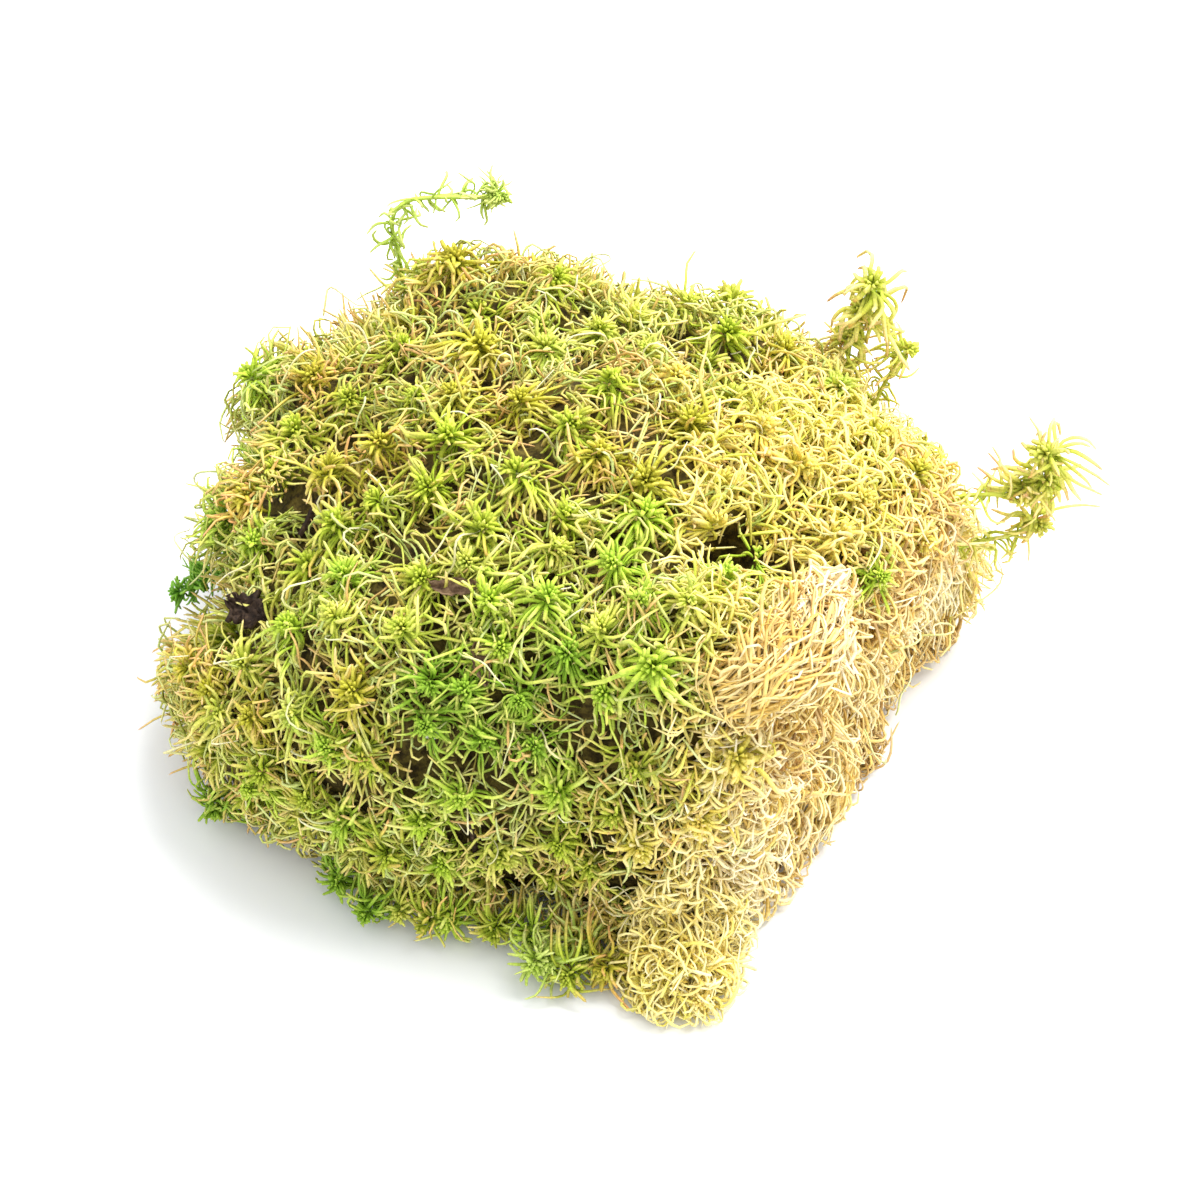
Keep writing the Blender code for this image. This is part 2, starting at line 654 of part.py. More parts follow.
def lock_mesh(name, grow=0.0):
    """A flattened, fluted lock of stems that narrows at both ends."""
    laid = np.array([seen_on_mass(pixel) for pixel in LOCK_PATH_PX])
    laid = laid + outward(laid, depth_in_mass) * np.array(LOCK_LIFTS)[:, None] * MM
    route = smooth_route(laid, 11)
    heading = unit(np.gradient(route, axis=0))
    up = outward(route, depth_in_mass)
    across = unit(np.cross(heading, up))
    up = np.cross(across, heading)
    loops = []
    for i in range(1, len(route) - 1):
        share = i / (len(route) - 1)
        swell = math.sin(math.pi * share) ** 0.6
        loop = []
        for corner in range(4 * LOCK_FLUTES):
            angle = corner / (4 * LOCK_FLUTES) * TURN
            flute = 1 + LOCK_FLUTE_DEPTH * math.cos(2 * LOCK_FLUTES * angle + 0.9 * i)
            wide = (LOCK_WIDTH / 2 * swell * flute + grow) * math.cos(angle)
            thick = (LOCK_THICKNESS / 2 * swell * flute + grow) * math.sin(angle)
            loop.append(route[i] + across[i] * wide + up[i] * thick)
        loops.append(loop)
    return loft_mesh(name, loops, route[0] - heading[0] * grow, route[-1] + heading[-1] * grow)


def twig(name, pixels, radius, collection, material=None, grow=0.0):
    """A thin bent twig that lies half sunk in the moss."""
    route = []
    for pixel in pixels:
        point = seen_on_mass(pixel)
        route.append(point - outward(point[None], depth_in_mass)[0] * LITTER_SINK)
    route = smooth_route(route, 5)
    if grow:
        heading = unit(np.gradient(route, axis=0))
        route[0] = route[0] - heading[0] * grow
        route[-1] = route[-1] + heading[-1] * grow
    curve = bpy.data.curves.new(name, "CURVE")
    curve.dimensions = "3D"
    curve.bevel_depth = radius * MM + grow
    curve.bevel_resolution = 1
    curve.use_fill_caps = True
    spline = curve.splines.new("POLY")
    spline.points.add(len(route) - 1)
    for place, point in zip(spline.points, route):
        place.co = (*point, 1.0)
    for index, place in enumerate(spline.points):
        place.radius = 1.0 if grow else 1.0 - 0.45 * index / len(route)
    if material:
        curve.materials.append(material)
    piece = bpy.data.objects.new(name, curve)
    collection.objects.link(piece)
    return piece


def meshed(curve_piece, collection):
    """The curve object as a closed mesh, which takes its place."""
    graph = bpy.context.evaluated_depsgraph_get()
    mesh = bpy.data.meshes.new_from_object(curve_piece.evaluated_get(graph))
    shape = bmesh.new()
    shape.from_mesh(mesh)
    bmesh.ops.remove_doubles(shape, verts=shape.verts, dist=1e-6)
    bmesh.ops.recalc_face_normals(shape, faces=shape.faces)
    shape.to_mesh(mesh)
    shape.free()
    name, place = curve_piece.name, curve_piece.matrix_world.copy()
    bpy.data.objects.remove(curve_piece)
    piece = add_piece(name, mesh, collection)
    piece.name = name
    piece.matrix_world = place
    return piece


def flake(name, pixel, size, turn, collection, material=None, grow=0.0):
    """A thin curled scrap of bark or leaf, half sunk in the moss."""
    middle = seen_on_mass(pixel)
    normal = outward(middle[None], depth_in_mass)[0]
    level, slope = across_from(normal)
    turn = math.radians(turn)
    long_way = level * math.cos(turn) + slope * math.sin(turn)
    short_way = np.cross(normal, long_way)
    length, width, thickness = (side * MM for side in size)
    shape = bmesh.new()
    rows = []
    for i in range(5):
        row = []
        for j in range(3):
            run, over = i / 4 * 2 - 1, j - 1
            taper = 1 - 0.55 * run**2 + 0.1 * math.sin(7 * i + 3 * j)
            bend = FLAKE_CURL * width * (over**2 * 0.8 + run**2 * 0.6)
            place = (middle + long_way * run * (length / 2 + grow)
                     + short_way * over * (width / 2 * taper + grow)
                     + normal * (bend - LITTER_SINK))
            row.append(shape.verts.new(place))
        rows.append(row)
    for low, high in zip(rows, rows[1:]):
        for j in range(2):
            shape.faces.new((low[j], low[j + 1], high[j + 1], high[j]))
    mesh = bpy.data.meshes.new(name)
    shape.to_mesh(mesh)
    shape.free()
    piece = add_piece(name, mesh, collection, material)
    solidify = piece.modifiers.new("thickness", "SOLIDIFY")
    solidify.thickness = thickness + 2 * grow
    solidify.offset = 0.0
    return piece


def seed(name, collection, material=None, grow=0.0):
    middle = seen_on_mass(SEED_PX)
    normal = outward(middle[None], depth_in_mass)[0]
    shape = bmesh.new()
    bmesh.ops.create_uvsphere(shape, u_segments=8, v_segments=5, radius=1.0)
    for corner in shape.verts:
        scaled = [share * (radius + grow) for share, radius in zip(corner.co, SEED_RADII)]
        corner.co = Vector(scaled) + Vector(middle - normal * LITTER_SINK)
    mesh = bpy.data.meshes.new(name)
    shape.to_mesh(mesh)
    shape.free()
    return add_piece(name, mesh, collection, material)


def tuft_space(collection):
    """The room that the corner tuft takes up, as a cutter."""
    (centre, radii), = TUFT_HUMMOCK.values()
    shape = bmesh.new()
    bmesh.ops.create_uvsphere(shape, u_segments=14, v_segments=8, radius=1.0)
    for corner in shape.verts:
        scaled = [share * (radius + TUFT_CLEARANCE) for share, radius in zip(corner.co, radii)]
        corner.co = (Vector(scaled) + Vector(centre)) * MM
    mesh = bpy.data.meshes.new("tuft_space")
    shape.to_mesh(mesh)
    shape.free()
    return as_cutter(add_piece("tuft_space", mesh, collection))


def cut(piece, name, operation, cutter=None, cutters=None):
    boolean = piece.modifiers.new(name, "BOOLEAN")
    boolean.operation = operation
    if cutters:
        boolean.operand_type = "COLLECTION"
        boolean.collection = cutters
        boolean.use_self = True
    else:
        boolean.object = cutter


def main():
    clear_scene()
    parts = new_collection("moss_clump")
    guides = new_collection("cutters")
    pockets = new_collection("pockets")
    finishes = {name: finish(name) for name in COLOURS}

    for name, (route, reach, head_radius) in SHOOTS.items():
        colour = "dark_moss" if name == "left_dark_shoot" else "shoot_moss"
        add_piece(name, shoot_mesh(name, route, reach, head_radius), parts, finishes[colour])
        sleeve = shoot_sleeve(name + "_pocket", route, reach, head_radius)
        as_cutter(add_piece(name + "_pocket", sleeve, pockets))
    add_piece("combed_lock", lock_mesh("combed_lock"), parts, finishes["pale_stems"])
    as_cutter(add_piece("lock_pocket", lock_mesh("lock_pocket", GAP), pockets))
    for name, (pixels, radius, colour) in TWIGS.items():
        meshed(twig(name, pixels, radius, parts), parts).data.materials.append(finishes[colour])
        as_cutter(meshed(twig(name + "_pocket", pixels, radius, pockets, grow=GAP), pockets))
    for name, (pixel, size, turn, colour) in FLAKES.items():
        flake(name, pixel, size, turn, parts, finishes[colour])
        as_cutter(flake(name + "_pocket", pixel, size, turn, pockets, grow=GAP))
    seed("white_seed", parts, finishes["seed_husk"])
    as_cutter(seed("seed_pocket", pockets, grow=GAP))
    tuft_space(pockets)

    add_piece("corner_tuft", corner_tuft_mesh(), parts, finishes["dead_stems"])
    cushion = add_piece("living_cushion", living_cushion_mesh(), parts, finishes["living_moss"])
    cut(cushion, "straw space", "DIFFERENCE", straw_space("straw_space", 0.0, guides))
    cut(cushion, "pockets", "DIFFERENCE", cutters=pockets)
    straw = add_piece("straw_side", straw_side_mesh(), parts, finishes["dead_stems"])
    cut(straw, "straw space", "INTERSECT", straw_space("straw_space_inner", GAP, guides))
    cut(straw, "pockets", "DIFFERENCE", cutters=pockets)


main()
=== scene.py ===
"""A clump of bog moss on a pale table.

Metres, +Z up, +X to the right and +Y away from the viewer. The solid model gives the mass, the
single shoots and the litter. Every branch and dead stem here is its own tapered strand.
"""

import math

import bmesh
import bpy
import numpy as np
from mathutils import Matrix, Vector


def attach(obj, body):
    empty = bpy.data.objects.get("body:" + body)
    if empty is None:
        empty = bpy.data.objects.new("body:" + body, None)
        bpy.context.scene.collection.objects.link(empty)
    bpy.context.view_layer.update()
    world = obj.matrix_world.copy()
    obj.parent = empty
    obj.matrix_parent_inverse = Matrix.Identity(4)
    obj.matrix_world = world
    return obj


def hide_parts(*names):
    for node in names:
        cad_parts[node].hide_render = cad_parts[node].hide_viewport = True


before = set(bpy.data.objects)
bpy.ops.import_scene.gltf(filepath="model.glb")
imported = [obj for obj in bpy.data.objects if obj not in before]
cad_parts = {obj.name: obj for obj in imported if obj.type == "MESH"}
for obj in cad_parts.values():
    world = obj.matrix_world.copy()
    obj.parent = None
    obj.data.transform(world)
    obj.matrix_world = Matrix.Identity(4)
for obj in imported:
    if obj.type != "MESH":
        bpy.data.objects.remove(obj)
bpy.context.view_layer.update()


# The view: the photograph looks down on the clump at 45 degrees from a little over half a metre.
# The camera is set to it, and points of the 1200 px frame can be followed back along it.

VIEW_TILT = math.radians(45.0)
VIEW_DISTANCE = 0.55
VIEW_AIM = np.array((0.0, 0.0, 0.030))
VIEW_FOCAL_PX = 2973.0
FRAME_PX = 1200.0
SENSOR = 36.0

view_forward = np.array((0.0, math.cos(VIEW_TILT), -math.sin(VIEW_TILT)))
view_up = np.array((0.0, math.sin(VIEW_TILT), math.cos(VIEW_TILT)))
view_eye = VIEW_AIM - view_forward * VIEW_DISTANCE

camera_data = bpy.data.cameras.new("camera")
camera_data.sensor_width = SENSOR
camera_data.lens = SENSOR * VIEW_FOCAL_PX / FRAME_PX
camera_data.dof.use_dof = False
camera = bpy.data.objects.new("camera", camera_data)
camera.location = view_eye
camera.rotation_mode = "QUATERNION"
camera.rotation_quaternion = Vector(view_forward).to_track_quat("-Z", "Y")
bpy.context.scene.collection.objects.link(camera)
bpy.context.scene.camera = camera


def unit(vectors):
    return vectors / np.maximum(np.linalg.norm(vectors, axis=-1, keepdims=True), 1e-12)


def sight_line(pixel):
    """The unit direction from the camera through a point of the photograph's frame."""
    across = (pixel[0] - FRAME_PX / 2) / VIEW_FOCAL_PX
    over = (FRAME_PX / 2 - pixel[1]) / VIEW_FOCAL_PX
    return unit(view_forward + np.array((1.0, 0.0, 0.0)) * across + view_up * over)


# The dark inside: old brown stems and peat, seen only in the gaps between the branches. It lies
# a few millimetres under the outer form, which is a heap of soft hummocks cut by the torn side.

MM = 0.001
TURN = 2 * math.pi
HEART = np.array((-4.0, -2.0, 24.0)) * MM
# The middle and the radii of each hummock, in mm.
HUMMOCKS = {
    "middle": ((-2, 2, 26), (60, 52, 50)),
    "back_left": ((-36, 38, 30), (36, 30, 36)),
    "back": ((-12, 46, 34), (40, 26, 36)),
    "back_right": ((22, 36, 30), (34, 26, 32)),
    "left_shoulder": ((-52, 12, 36), (24, 20, 20)),
    "left": ((-52, -6, 18), (31, 32, 28)),
    "front": ((-16, -28, 24), (46, 26, 42)),
    "corner": ((15, -38, 22), (26, 22, 50)),
    "right": ((38, 8, 26), (32, 36, 34)),
    "lobe": ((61, 20, 14), (17, 14, 17)),
}
HUMMOCK_BLEND = 9.0
HUMMOCK_DEPTH = 50 * MM
TORN_SIDE_FACES = unit(np.array((0.855, -0.52, 0.03)))
TORN_SIDE_POINT = np.array((22.5, -69.0, 0.0)) * MM
TORN_EDGE_SHARPNESS = 700.0
LOW_BAND = 30 * MM
LOW_BAND_SHIFT = 0.3
FARTHEST_REACH = 115 * MM
NEAREST_REACH = 2 * MM
SEARCH_STEPS = 120
SEARCH_HALVINGS = 10
SLOPE_STEP = 0.5 * MM
SIGHT_RANGE = (0.40, 0.70)
SIGHT_STEP = 0.5 * MM
# Each opening's pixel, and its radius in mm.
OPENINGS_PX = (
    (714, 549, 5.2), (737, 544, 6.0), (760, 538, 5.8), (252, 603, 3.2), (226, 612, 2.6),
    (424, 775, 2.6), (468, 768, 2.3), (655, 868, 2.6), (560, 690, 1.8), (478, 556, 1.8),
    (632, 560, 2.0), (782, 700, 2.2), (818, 745, 1.8), (300, 500, 2.4), (376, 560, 1.8),
)
OPENING_DEEPNESS = 2.4
# Each dent's pixel, and its radius and depth in mm. A depth under zero is a bulge.
DENTS_PX = (
    (298, 326, 8, 4.2), (345, 303, 9, 5.8), (384, 290, 6, 3.0), (226, 440, 9, 5.6),
    (210, 480, 6, 2.4), (190, 560, 7, 7.0), (186, 596, 7, 8.0), (163, 624, 6, 3.0),
    (154, 668, 7, 1.8), (168, 742, 8, 3.6), (290, 868, 8, 1.6), (540, 250, 9, 1.2),
    (612, 268, 9, 4.0), (665, 292, 8, 4.0), (812, 330, 6, 2.0), (890, 395, 8, 4.8),
    (990, 582, 8, 6.0), (950, 665, 10, 6.8), (905, 730, 9, 4.6), (830, 848, 7, 2.4),
    (768, 932, 8, 4.0), (446, 254, 8, -3.6), (766, 300, 8, -3.0), (243, 368, 6, -3.0),
    (945, 455, 7, -1.6), (712, 292, 8, -1.2),
)
INSIDE_DEPTH = 5.5 * MM
INSIDE_UNEVENNESS = 0.35
INSIDE_LUMPS = 5 * MM
INSIDE_FINENESS = 6
INSIDE_TONES = {
    "dark_inside": ((0.30, (34, 26, 12)), (0.45, (68, 56, 24)), (0.58, (112, 98, 44)),
                    (0.75, (72, 64, 28))),
    "brown_inside": ((0.30, (118, 82, 38)), (0.45, (168, 126, 64)), (0.58, (210, 170, 102)),
                     (0.75, (138, 102, 50))),
}
INSIDE_MOTTLE = 420.0


def depth_in_hummocks(points):
    total = 0.0
    for centre, radii in HUMMOCKS.values():
        scaled = (points - np.array(centre) * MM) / (np.array(radii) * MM)
        total = total + np.exp(-HUMMOCK_BLEND * (np.linalg.norm(scaled, axis=-1) - 1))
    return np.log(total) / HUMMOCK_BLEND * HUMMOCK_DEPTH


def past_torn_side(points):
    """How far points lie beyond the face of the torn side."""
    return (points - TORN_SIDE_POINT) @ TORN_SIDE_FACES


def depth_in_mass(points):
    """Over zero inside the mass, and falling outwards."""
    soft = depth_in_hummocks(points)
    torn = -past_torn_side(points)
    sharp = TORN_EDGE_SHARPNESS
    return -np.log(np.exp(-sharp * soft) + np.exp(-sharp * torn)) / sharp


def outward(points, depth=depth_in_mass):
    """The outward normal of a form at each point."""
    steps = np.eye(3) * SLOPE_STEP
    return unit(-np.stack([depth(points + step) - depth(points - step) for step in steps], -1))


def skin_along(directions, heart=HEART, depth=depth_in_mass):
    """The outermost point of a form in each direction from its heart."""
    coarse = np.linspace(FARTHEST_REACH, NEAREST_REACH, SEARCH_STEPS)
    near = np.full(len(directions), NEAREST_REACH)
    for reach in coarse:
        inside = depth(heart + directions * reach) > 0
        near = np.where(inside & (near < reach), reach, near)
    far = near + (coarse[0] - coarse[1])
    for _ in range(SEARCH_HALVINGS):
        middle = (near + far) / 2
        inside = depth(heart + directions * middle[:, None]) > 0
        near, far = np.where(inside, middle, near), np.where(inside, far, middle)
    return heart + directions * near[:, None]


def seen_on_mass(pixel):
    """The point of the form that the photograph shows at this pixel, or the nearest to it."""
    points = view_eye + sight_line(pixel) * np.arange(*SIGHT_RANGE, SIGHT_STEP)[:, None]
    depth = depth_in_mass(points)
    hits = np.flatnonzero(depth > 0)
    point = points[hits[0] if len(hits) else depth.argmax()]
    return skin_along(unit(point - HEART)[None])[0]


def from_openings(points):
    """How far points are from the nearest opening, in radii of it, and how deep that one is."""
    away = np.linalg.norm(points[..., None, :] - opening_places, axis=-1) / opening_radii
    nearest = away.argmin(-1)
    return away.min(-1), OPENING_DEEPNESS * opening_radii[nearest]


def dents(points):
    """How far the clump is pressed in, or stands out, from the plain form at these points. Each
    dent is a groove along the line of sight through its pixel."""
    away = np.cross(points[..., None, :] - view_eye, dent_lines)
    away = np.linalg.norm(away, axis=-1) / dent_radii
    return (dent_depths * np.exp(-away**2)).sum(-1)


def ripple(points, size):
    """A smooth uneven field from -1 to 1 whose bumps are about this size."""
    x, y, z = (points / size).T
    return (np.sin(1.9 * x + 1.3 * np.sin(2.3 * y + 0.6)) + np.sin(2.1 * y + 1.1 * np.sin(1.7 * z))
            + np.sin(2.0 * z + 1.2 * np.sin(2.2 * x + 1.9))) / 3


def srgb(*levels):
    """A colour as shaders want it, from levels of 0 to 255."""
    shares = (level / 255 for level in levels)
    return (*((s / 12.92 if s < 0.04045 else ((s + 0.055) / 1.055) ** 2.4) for s in shares), 1.0)


def colour_ramp(nodes, stops):
    ramp = nodes.new("ShaderNodeValToRGB")
    for index, (place, colour) in enumerate(stops):
        stop = ramp.color_ramp.elements
        if index > 1:
            stop.new(place)
        stop[index].position = place
        stop[index].color = srgb(*colour)
    return ramp


def new_material(name, roughness):
    material = bpy.data.materials.new(name)
    material.use_nodes = True
    shader = material.node_tree.nodes["Principled BSDF"]
    shader.inputs["Roughness"].default_value = roughness
    shader.inputs["Specular IOR Level"].default_value = 0.25
    return material, material.node_tree.nodes, material.node_tree.links, shader


def mottled_finish(name, stops, scale, roughness, bump):
    """A rough natural surface whose colour wanders through the stops."""
    material, nodes, links, shader = new_material(name, roughness)
    place = nodes.new("ShaderNodeTexCoord")
    noise = nodes.new("ShaderNodeTexNoise")
    noise.inputs["Scale"].default_value = scale
    noise.inputs["Detail"].default_value = 6.0
    noise.inputs["Roughness"].default_value = 0.65
    links.new(place.outputs["Object"], noise.inputs["Vector"])
    ramp = colour_ramp(nodes, stops)
    links.new(noise.outputs["Fac"], ramp.inputs["Fac"])
    links.new(ramp.outputs["Color"], shader.inputs["Base Color"])
    lift = nodes.new("ShaderNodeBump")
    lift.inputs["Strength"].default_value = bump
    lift.inputs["Distance"].default_value = 0.5 * MM
    links.new(noise.outputs["Fac"], lift.inputs["Height"])
    links.new(lift.outputs["Normal"], shader.inputs["Normal"])
    return material


def add_piece(name, mesh, material, slot, *nodes):
    """A piece of the clump that stands for these nodes of the solid model."""
    mesh.materials.append(material)
    mesh.shade_smooth()
    piece = bpy.data.objects.new(name, mesh)
    bpy.context.scene.collection.objects.link(piece)
    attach(piece, "root")
    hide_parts(*nodes)


def shift_low_down(points):
    """How much further the dead stems reach round the clump low down than higher up."""
    return LOW_BAND_SHIFT * np.clip(LOW_BAND - points[:, 2], 0, LOW_BAND)


def torn_share(points):
    """From 0 behind the living moss to 1 behind the torn side."""
    near = past_torn_side(points) + shift_low_down(points)
    return np.clip((near + 14 * MM) / (8 * MM), 0, 1)


opening_places = np.array([seen_on_mass((x, y)) for x, y, radius in OPENINGS_PX])
opening_radii = np.array([radius for x, y, radius in OPENINGS_PX]) * MM
dent_lines = np.array([sight_line((x, y)) for x, y, radius, depth in DENTS_PX])
dent_radii = np.array([radius for x, y, radius, depth in DENTS_PX]) * MM
dent_depths = np.array([depth for x, y, radius, depth in DENTS_PX]) * MM
inside = bmesh.new()
bmesh.ops.create_icosphere(inside, subdivisions=INSIDE_FINENESS, radius=1.0)
inside_directions = unit(np.array([corner.co[:] for corner in inside.verts]))
inside_skin = skin_along(inside_directions)
opening_away, opening_depth = from_openings(inside_skin)
inside_sink = INSIDE_DEPTH * (1 + INSIDE_UNEVENNESS * ripple(inside_skin, INSIDE_LUMPS))
inside_sink = inside_sink + opening_depth * np.exp(-opening_away**2) + dents(inside_skin)
inside_skin = inside_skin - outward(inside_skin) * inside_sink[:, None]
inside_skin[:, 2] = np.maximum(inside_skin[:, 2], 0.3 * MM)
inside_faces = np.array([[corner.index for corner in face.verts] for face in inside.faces])
inside.free()
inside_torn = torn_share(inside_skin)[inside_faces].mean(1) > 0.5
for name, node, slot, part in (
    ("dark_inside", "living_cushion", "living_moss", ~inside_torn),
    ("brown_inside", "straw_side", "dead_stems", inside_torn),
):
    faces = inside_faces[part]
    used, faces = np.unique(faces, return_inverse=True)
    mesh = bpy.data.meshes.new(name)
    mesh.from_pydata(inside_skin[used].tolist(), [], faces.reshape(-1, 3).tolist())
    finish = mottled_finish(name + "_stems", INSIDE_TONES[name], INSIDE_MOTTLE, 0.9, 0.8)
    add_piece(name, mesh, finish, slot, node)


# Living heads: each shoot ends in a star of tapered branches round a knot of short young ones.
# They grow out of the mass, lime or gold in the middle, and bleach to tan at their tips. Straw
# yellow heads are looser mops whose branches hang.

RNG = np.random.default_rng(11)
STRAND_SIDES = 3
TONE_WIDTH = 0.004
BLUNTNESS = 0.55
BRANCH_SHAPE = (0.60, 0.84, 1.0, 1.0, 0.95, 0.76, 0.0)
YOUNG_SHAPE = (0.70, 0.90, 1.05, 1.0, 0.0)
# Tiers from the middle outwards: the number of branches, their angles from the axis, lengths as
# shares of the reach, thickness, droop, curl, steps and ripeness.
STAR_TIERS = (
    (12, (0.40, 1.05), (0.26, 0.60), 0.50, 0.45, (0.05, 0.40), 5, 0.62),
    (15, (0.75, 1.45), (0.50, 1.00), 0.48, 1.30, (0.12, 0.65), 6, 0.85),
    (18, (1.05, 1.95), (0.70, 1.60), 0.40, 1.60, (0.25, 0.90), 7, 1.00),
)
MOP_TIERS = (
    (9, (0.30, 0.90), (0.20, 0.42), 0.54, 0.6, (0.05, 0.40), 5, 0.62),
    (12, (0.70, 1.30), (0.45, 0.85), 0.52, 1.6, (0.20, 0.70), 7, 0.90),
    (18, (0.90, 1.70), (0.70, 1.20), 0.48, 2.2, (0.30, 1.00), 8, 1.00),
)
KNOT_COUNT = 16
KNOT_SPREAD = 0.85
KNOT_TURN = 2.4
KNOT_LENGTH = (0.7, 1.25)
KNOT_RADIUS = (0.34, 0.42)
KNOT_RIPE = 0.4
SKIRT_COUNT = 24
SKIRT_STEPS = 6
SKIRT_LENGTH = (5, 12)
SKIRT_RADIUS = (0.24, 0.40)
LEANING = 0.36
STEERING = 0.30
MOST_STRAY = 3
LOW_RISE = 0.15
OPENING_CLEAR = 0.85
OPENING_CROSSED = 0.14
FLOOR_CLEARANCE = 0.4 * MM
SHADE_SCALE = 90.0
SHADE_SHARE = 0.55
GRAIN_SCALE = 26.0
GRAIN_STRETCH = 4.0
BRIGHTEST = 1.18
PX = 0.185 * MM
HEAD_SINK = np.array((-1.2, 1.0)) * MM
HIDDEN_SINK = np.array((1.8, 4.2)) * MM

# Each head's pixel and its reach in pixels, by the colour of its branches.
HEADS_PX = {
    "gold": (
        (458, 270, 52), (481, 351, 56), (454, 396, 40), (240, 493, 42), (645, 482, 50),
        (875, 431, 50), (914, 473, 42), (692, 420, 50), (179, 670, 38), (784, 352, 42),
        (332, 471, 44), (383, 446, 42), (310, 372, 42), (252, 718, 32), (354, 690, 44),
        (205, 690, 34), (600, 455, 40), (520, 400, 40),
    ),
    "lime_gold": (
        (291, 423, 50), (451, 438, 52), (727, 335, 52), (557, 276, 42), (517, 475, 44),
        (483, 530, 54), (415, 396, 38), (338, 525, 44), (380, 503, 36), (430, 488, 42),
        (570, 428, 40), (567, 514, 42), (305, 562, 42), (420, 575, 40), (391, 850, 40),
        (588, 867, 40), (263, 772, 40), (307, 800, 36), (360, 758, 42), (193, 753, 38),
        (635, 772, 38), (400, 340, 38), (350, 400, 38), (610, 385, 38), (270, 460, 36),
        (612, 815, 38), (560, 842, 34),
    ),
    "fresh": (
        (256, 380, 42), (654, 664, 62), (645, 516, 48), (614, 565, 42), (491, 600, 44),
        (549, 599, 44), (643, 602, 32), (344, 575, 42), (289, 625, 40), (500, 647, 40),
        (604, 693, 38), (252, 787, 32), (344, 824, 40), (420, 824, 38), (443, 866, 38),
        (557, 793, 46), (459, 795, 36), (880, 577, 24), (252, 541, 36), (755, 557, 26),
        (727, 573, 30), (330, 745, 34),
    ),
    "deep": (
        (567, 652, 42), (467, 688, 32), (486, 737, 28), (206, 516, 30), (428, 724, 26),
        (430, 683, 32), (240, 437, 22), (535, 745, 28), (520, 700, 26),
    ),
    "pale": (
        (640, 305, 40), (734, 298, 46), (545, 348, 44), (645, 352, 38), (838, 386, 46),
        (339, 617, 42), (602, 628, 40), (690, 602, 44), (404, 628, 42), (468, 563, 36),
        (557, 546, 38), (297, 714, 40), (216, 714, 38), (242, 662, 38), (503, 857, 40),
        (600, 330, 38), (690, 300, 34),
    ),
    "straw_lime": (
        (714, 526, 46), (737, 759, 62), (836, 535, 46), (677, 378, 46), (760, 430, 46),
        (800, 470, 42), (860, 500, 42), (820, 430, 40), (930, 540, 38), (700, 820, 44),
        (640, 845, 40), (670, 905, 38),
    ),
}
LOW_HEADS_PX = (
    (334, 887, 32, "deep"), (366, 913, 28, "deep"), (400, 914, 32, "pale"),
    (447, 917, 34, "fresh"), (495, 928, 34, "lime_gold"), (531, 936, 30, "fresh"),
    (211, 811, 32, "deep"), (575, 936, 32, "straw_lime"), (612, 928, 32, "straw_lime"),
    (425, 926, 26, "lime_gold"), (604, 976, 32, "gold"), (568, 974, 32, "lime_gold"),
)
LOW_HEAD_HEIGHT = 5 * MM
HIDDEN_HEAD_TRIES = 3000
HIDDEN_HEAD_LOWEST = 5 * MM
HIDDEN_HEAD_SPACING = 10.5 * MM
HIDDEN_HEAD_REACH = 7.6 * MM
HEAD_PATCHES = 22 * MM
PALE_SHARE = 0.22

# The colours of each kind of head, as stops from the root of a branch to its tip.
TONES = {
    "gold": (
        ((0.0, (150, 152, 26)), (0.35, (198, 190, 54)), (0.62, (228, 208, 100)),
         (0.9, (238, 190, 130))),
        ((0.0, (172, 176, 40)), (0.4, (216, 210, 76)), (0.66, (238, 220, 118)),
         (0.9, (244, 206, 146))),
        ((0.0, (140, 146, 28)), (0.35, (190, 176, 54)), (0.58, (226, 188, 96)),
         (0.9, (230, 168, 114))),
    ),
    "lime_gold": (
        ((0.0, (142, 168, 28)), (0.35, (184, 200, 54)), (0.62, (216, 212, 92)),
         (0.9, (236, 198, 126))),
        ((0.0, (158, 184, 40)), (0.4, (204, 216, 76)), (0.66, (230, 224, 116)),
         (0.9, (242, 218, 146))),
        ((0.0, (130, 150, 30)), (0.35, (172, 178, 54)), (0.62, (214, 192, 88)),
         (0.9, (232, 178, 114))),
    ),
    "fresh": (
        ((0.0, (150, 184, 38)), (0.35, (188, 214, 62)), (0.62, (216, 226, 98)),
         (0.9, (236, 222, 132))),
        ((0.0, (166, 200, 48)), (0.4, (206, 226, 84)), (0.66, (230, 236, 126)),
         (0.9, (242, 232, 156))),
        ((0.0, (134, 176, 40)), (0.35, (174, 204, 64)), (0.66, (210, 216, 96)),
         (0.9, (236, 206, 126))),
    ),
    "deep": (
        ((0.0, (112, 154, 30)), (0.4, (146, 184, 50)), (0.66, (184, 204, 80)),
         (0.9, (212, 208, 108))),
        ((0.0, (126, 168, 38)), (0.4, (166, 200, 62)), (0.66, (200, 216, 94)),
         (0.9, (224, 216, 122))),
    ),
    "pale": (
        ((0.0, (164, 190, 50)), (0.35, (208, 220, 84)), (0.62, (232, 232, 116)),
         (0.9, (246, 228, 146))),
        ((0.0, (182, 194, 62)), (0.4, (222, 220, 98)), (0.66, (244, 230, 128)),
         (0.9, (248, 212, 146))),
        ((0.0, (160, 188, 58)), (0.4, (198, 214, 92)), (0.66, (226, 230, 124)),
         (0.9, (244, 236, 164))),
    ),
    "straw_lime": (
        ((0.0, (190, 196, 54)), (0.3, (230, 218, 86)), (0.58, (248, 226, 122)),
         (0.9, (248, 222, 152))),
        ((0.0, (206, 200, 72)), (0.3, (234, 220, 108)), (0.58, (246, 230, 146)),
         (0.9, (250, 234, 174))),
        ((0.0, (206, 190, 66)), (0.3, (240, 212, 96)), (0.58, (250, 220, 124)),
         (0.9, (246, 204, 142))),
    ),
}


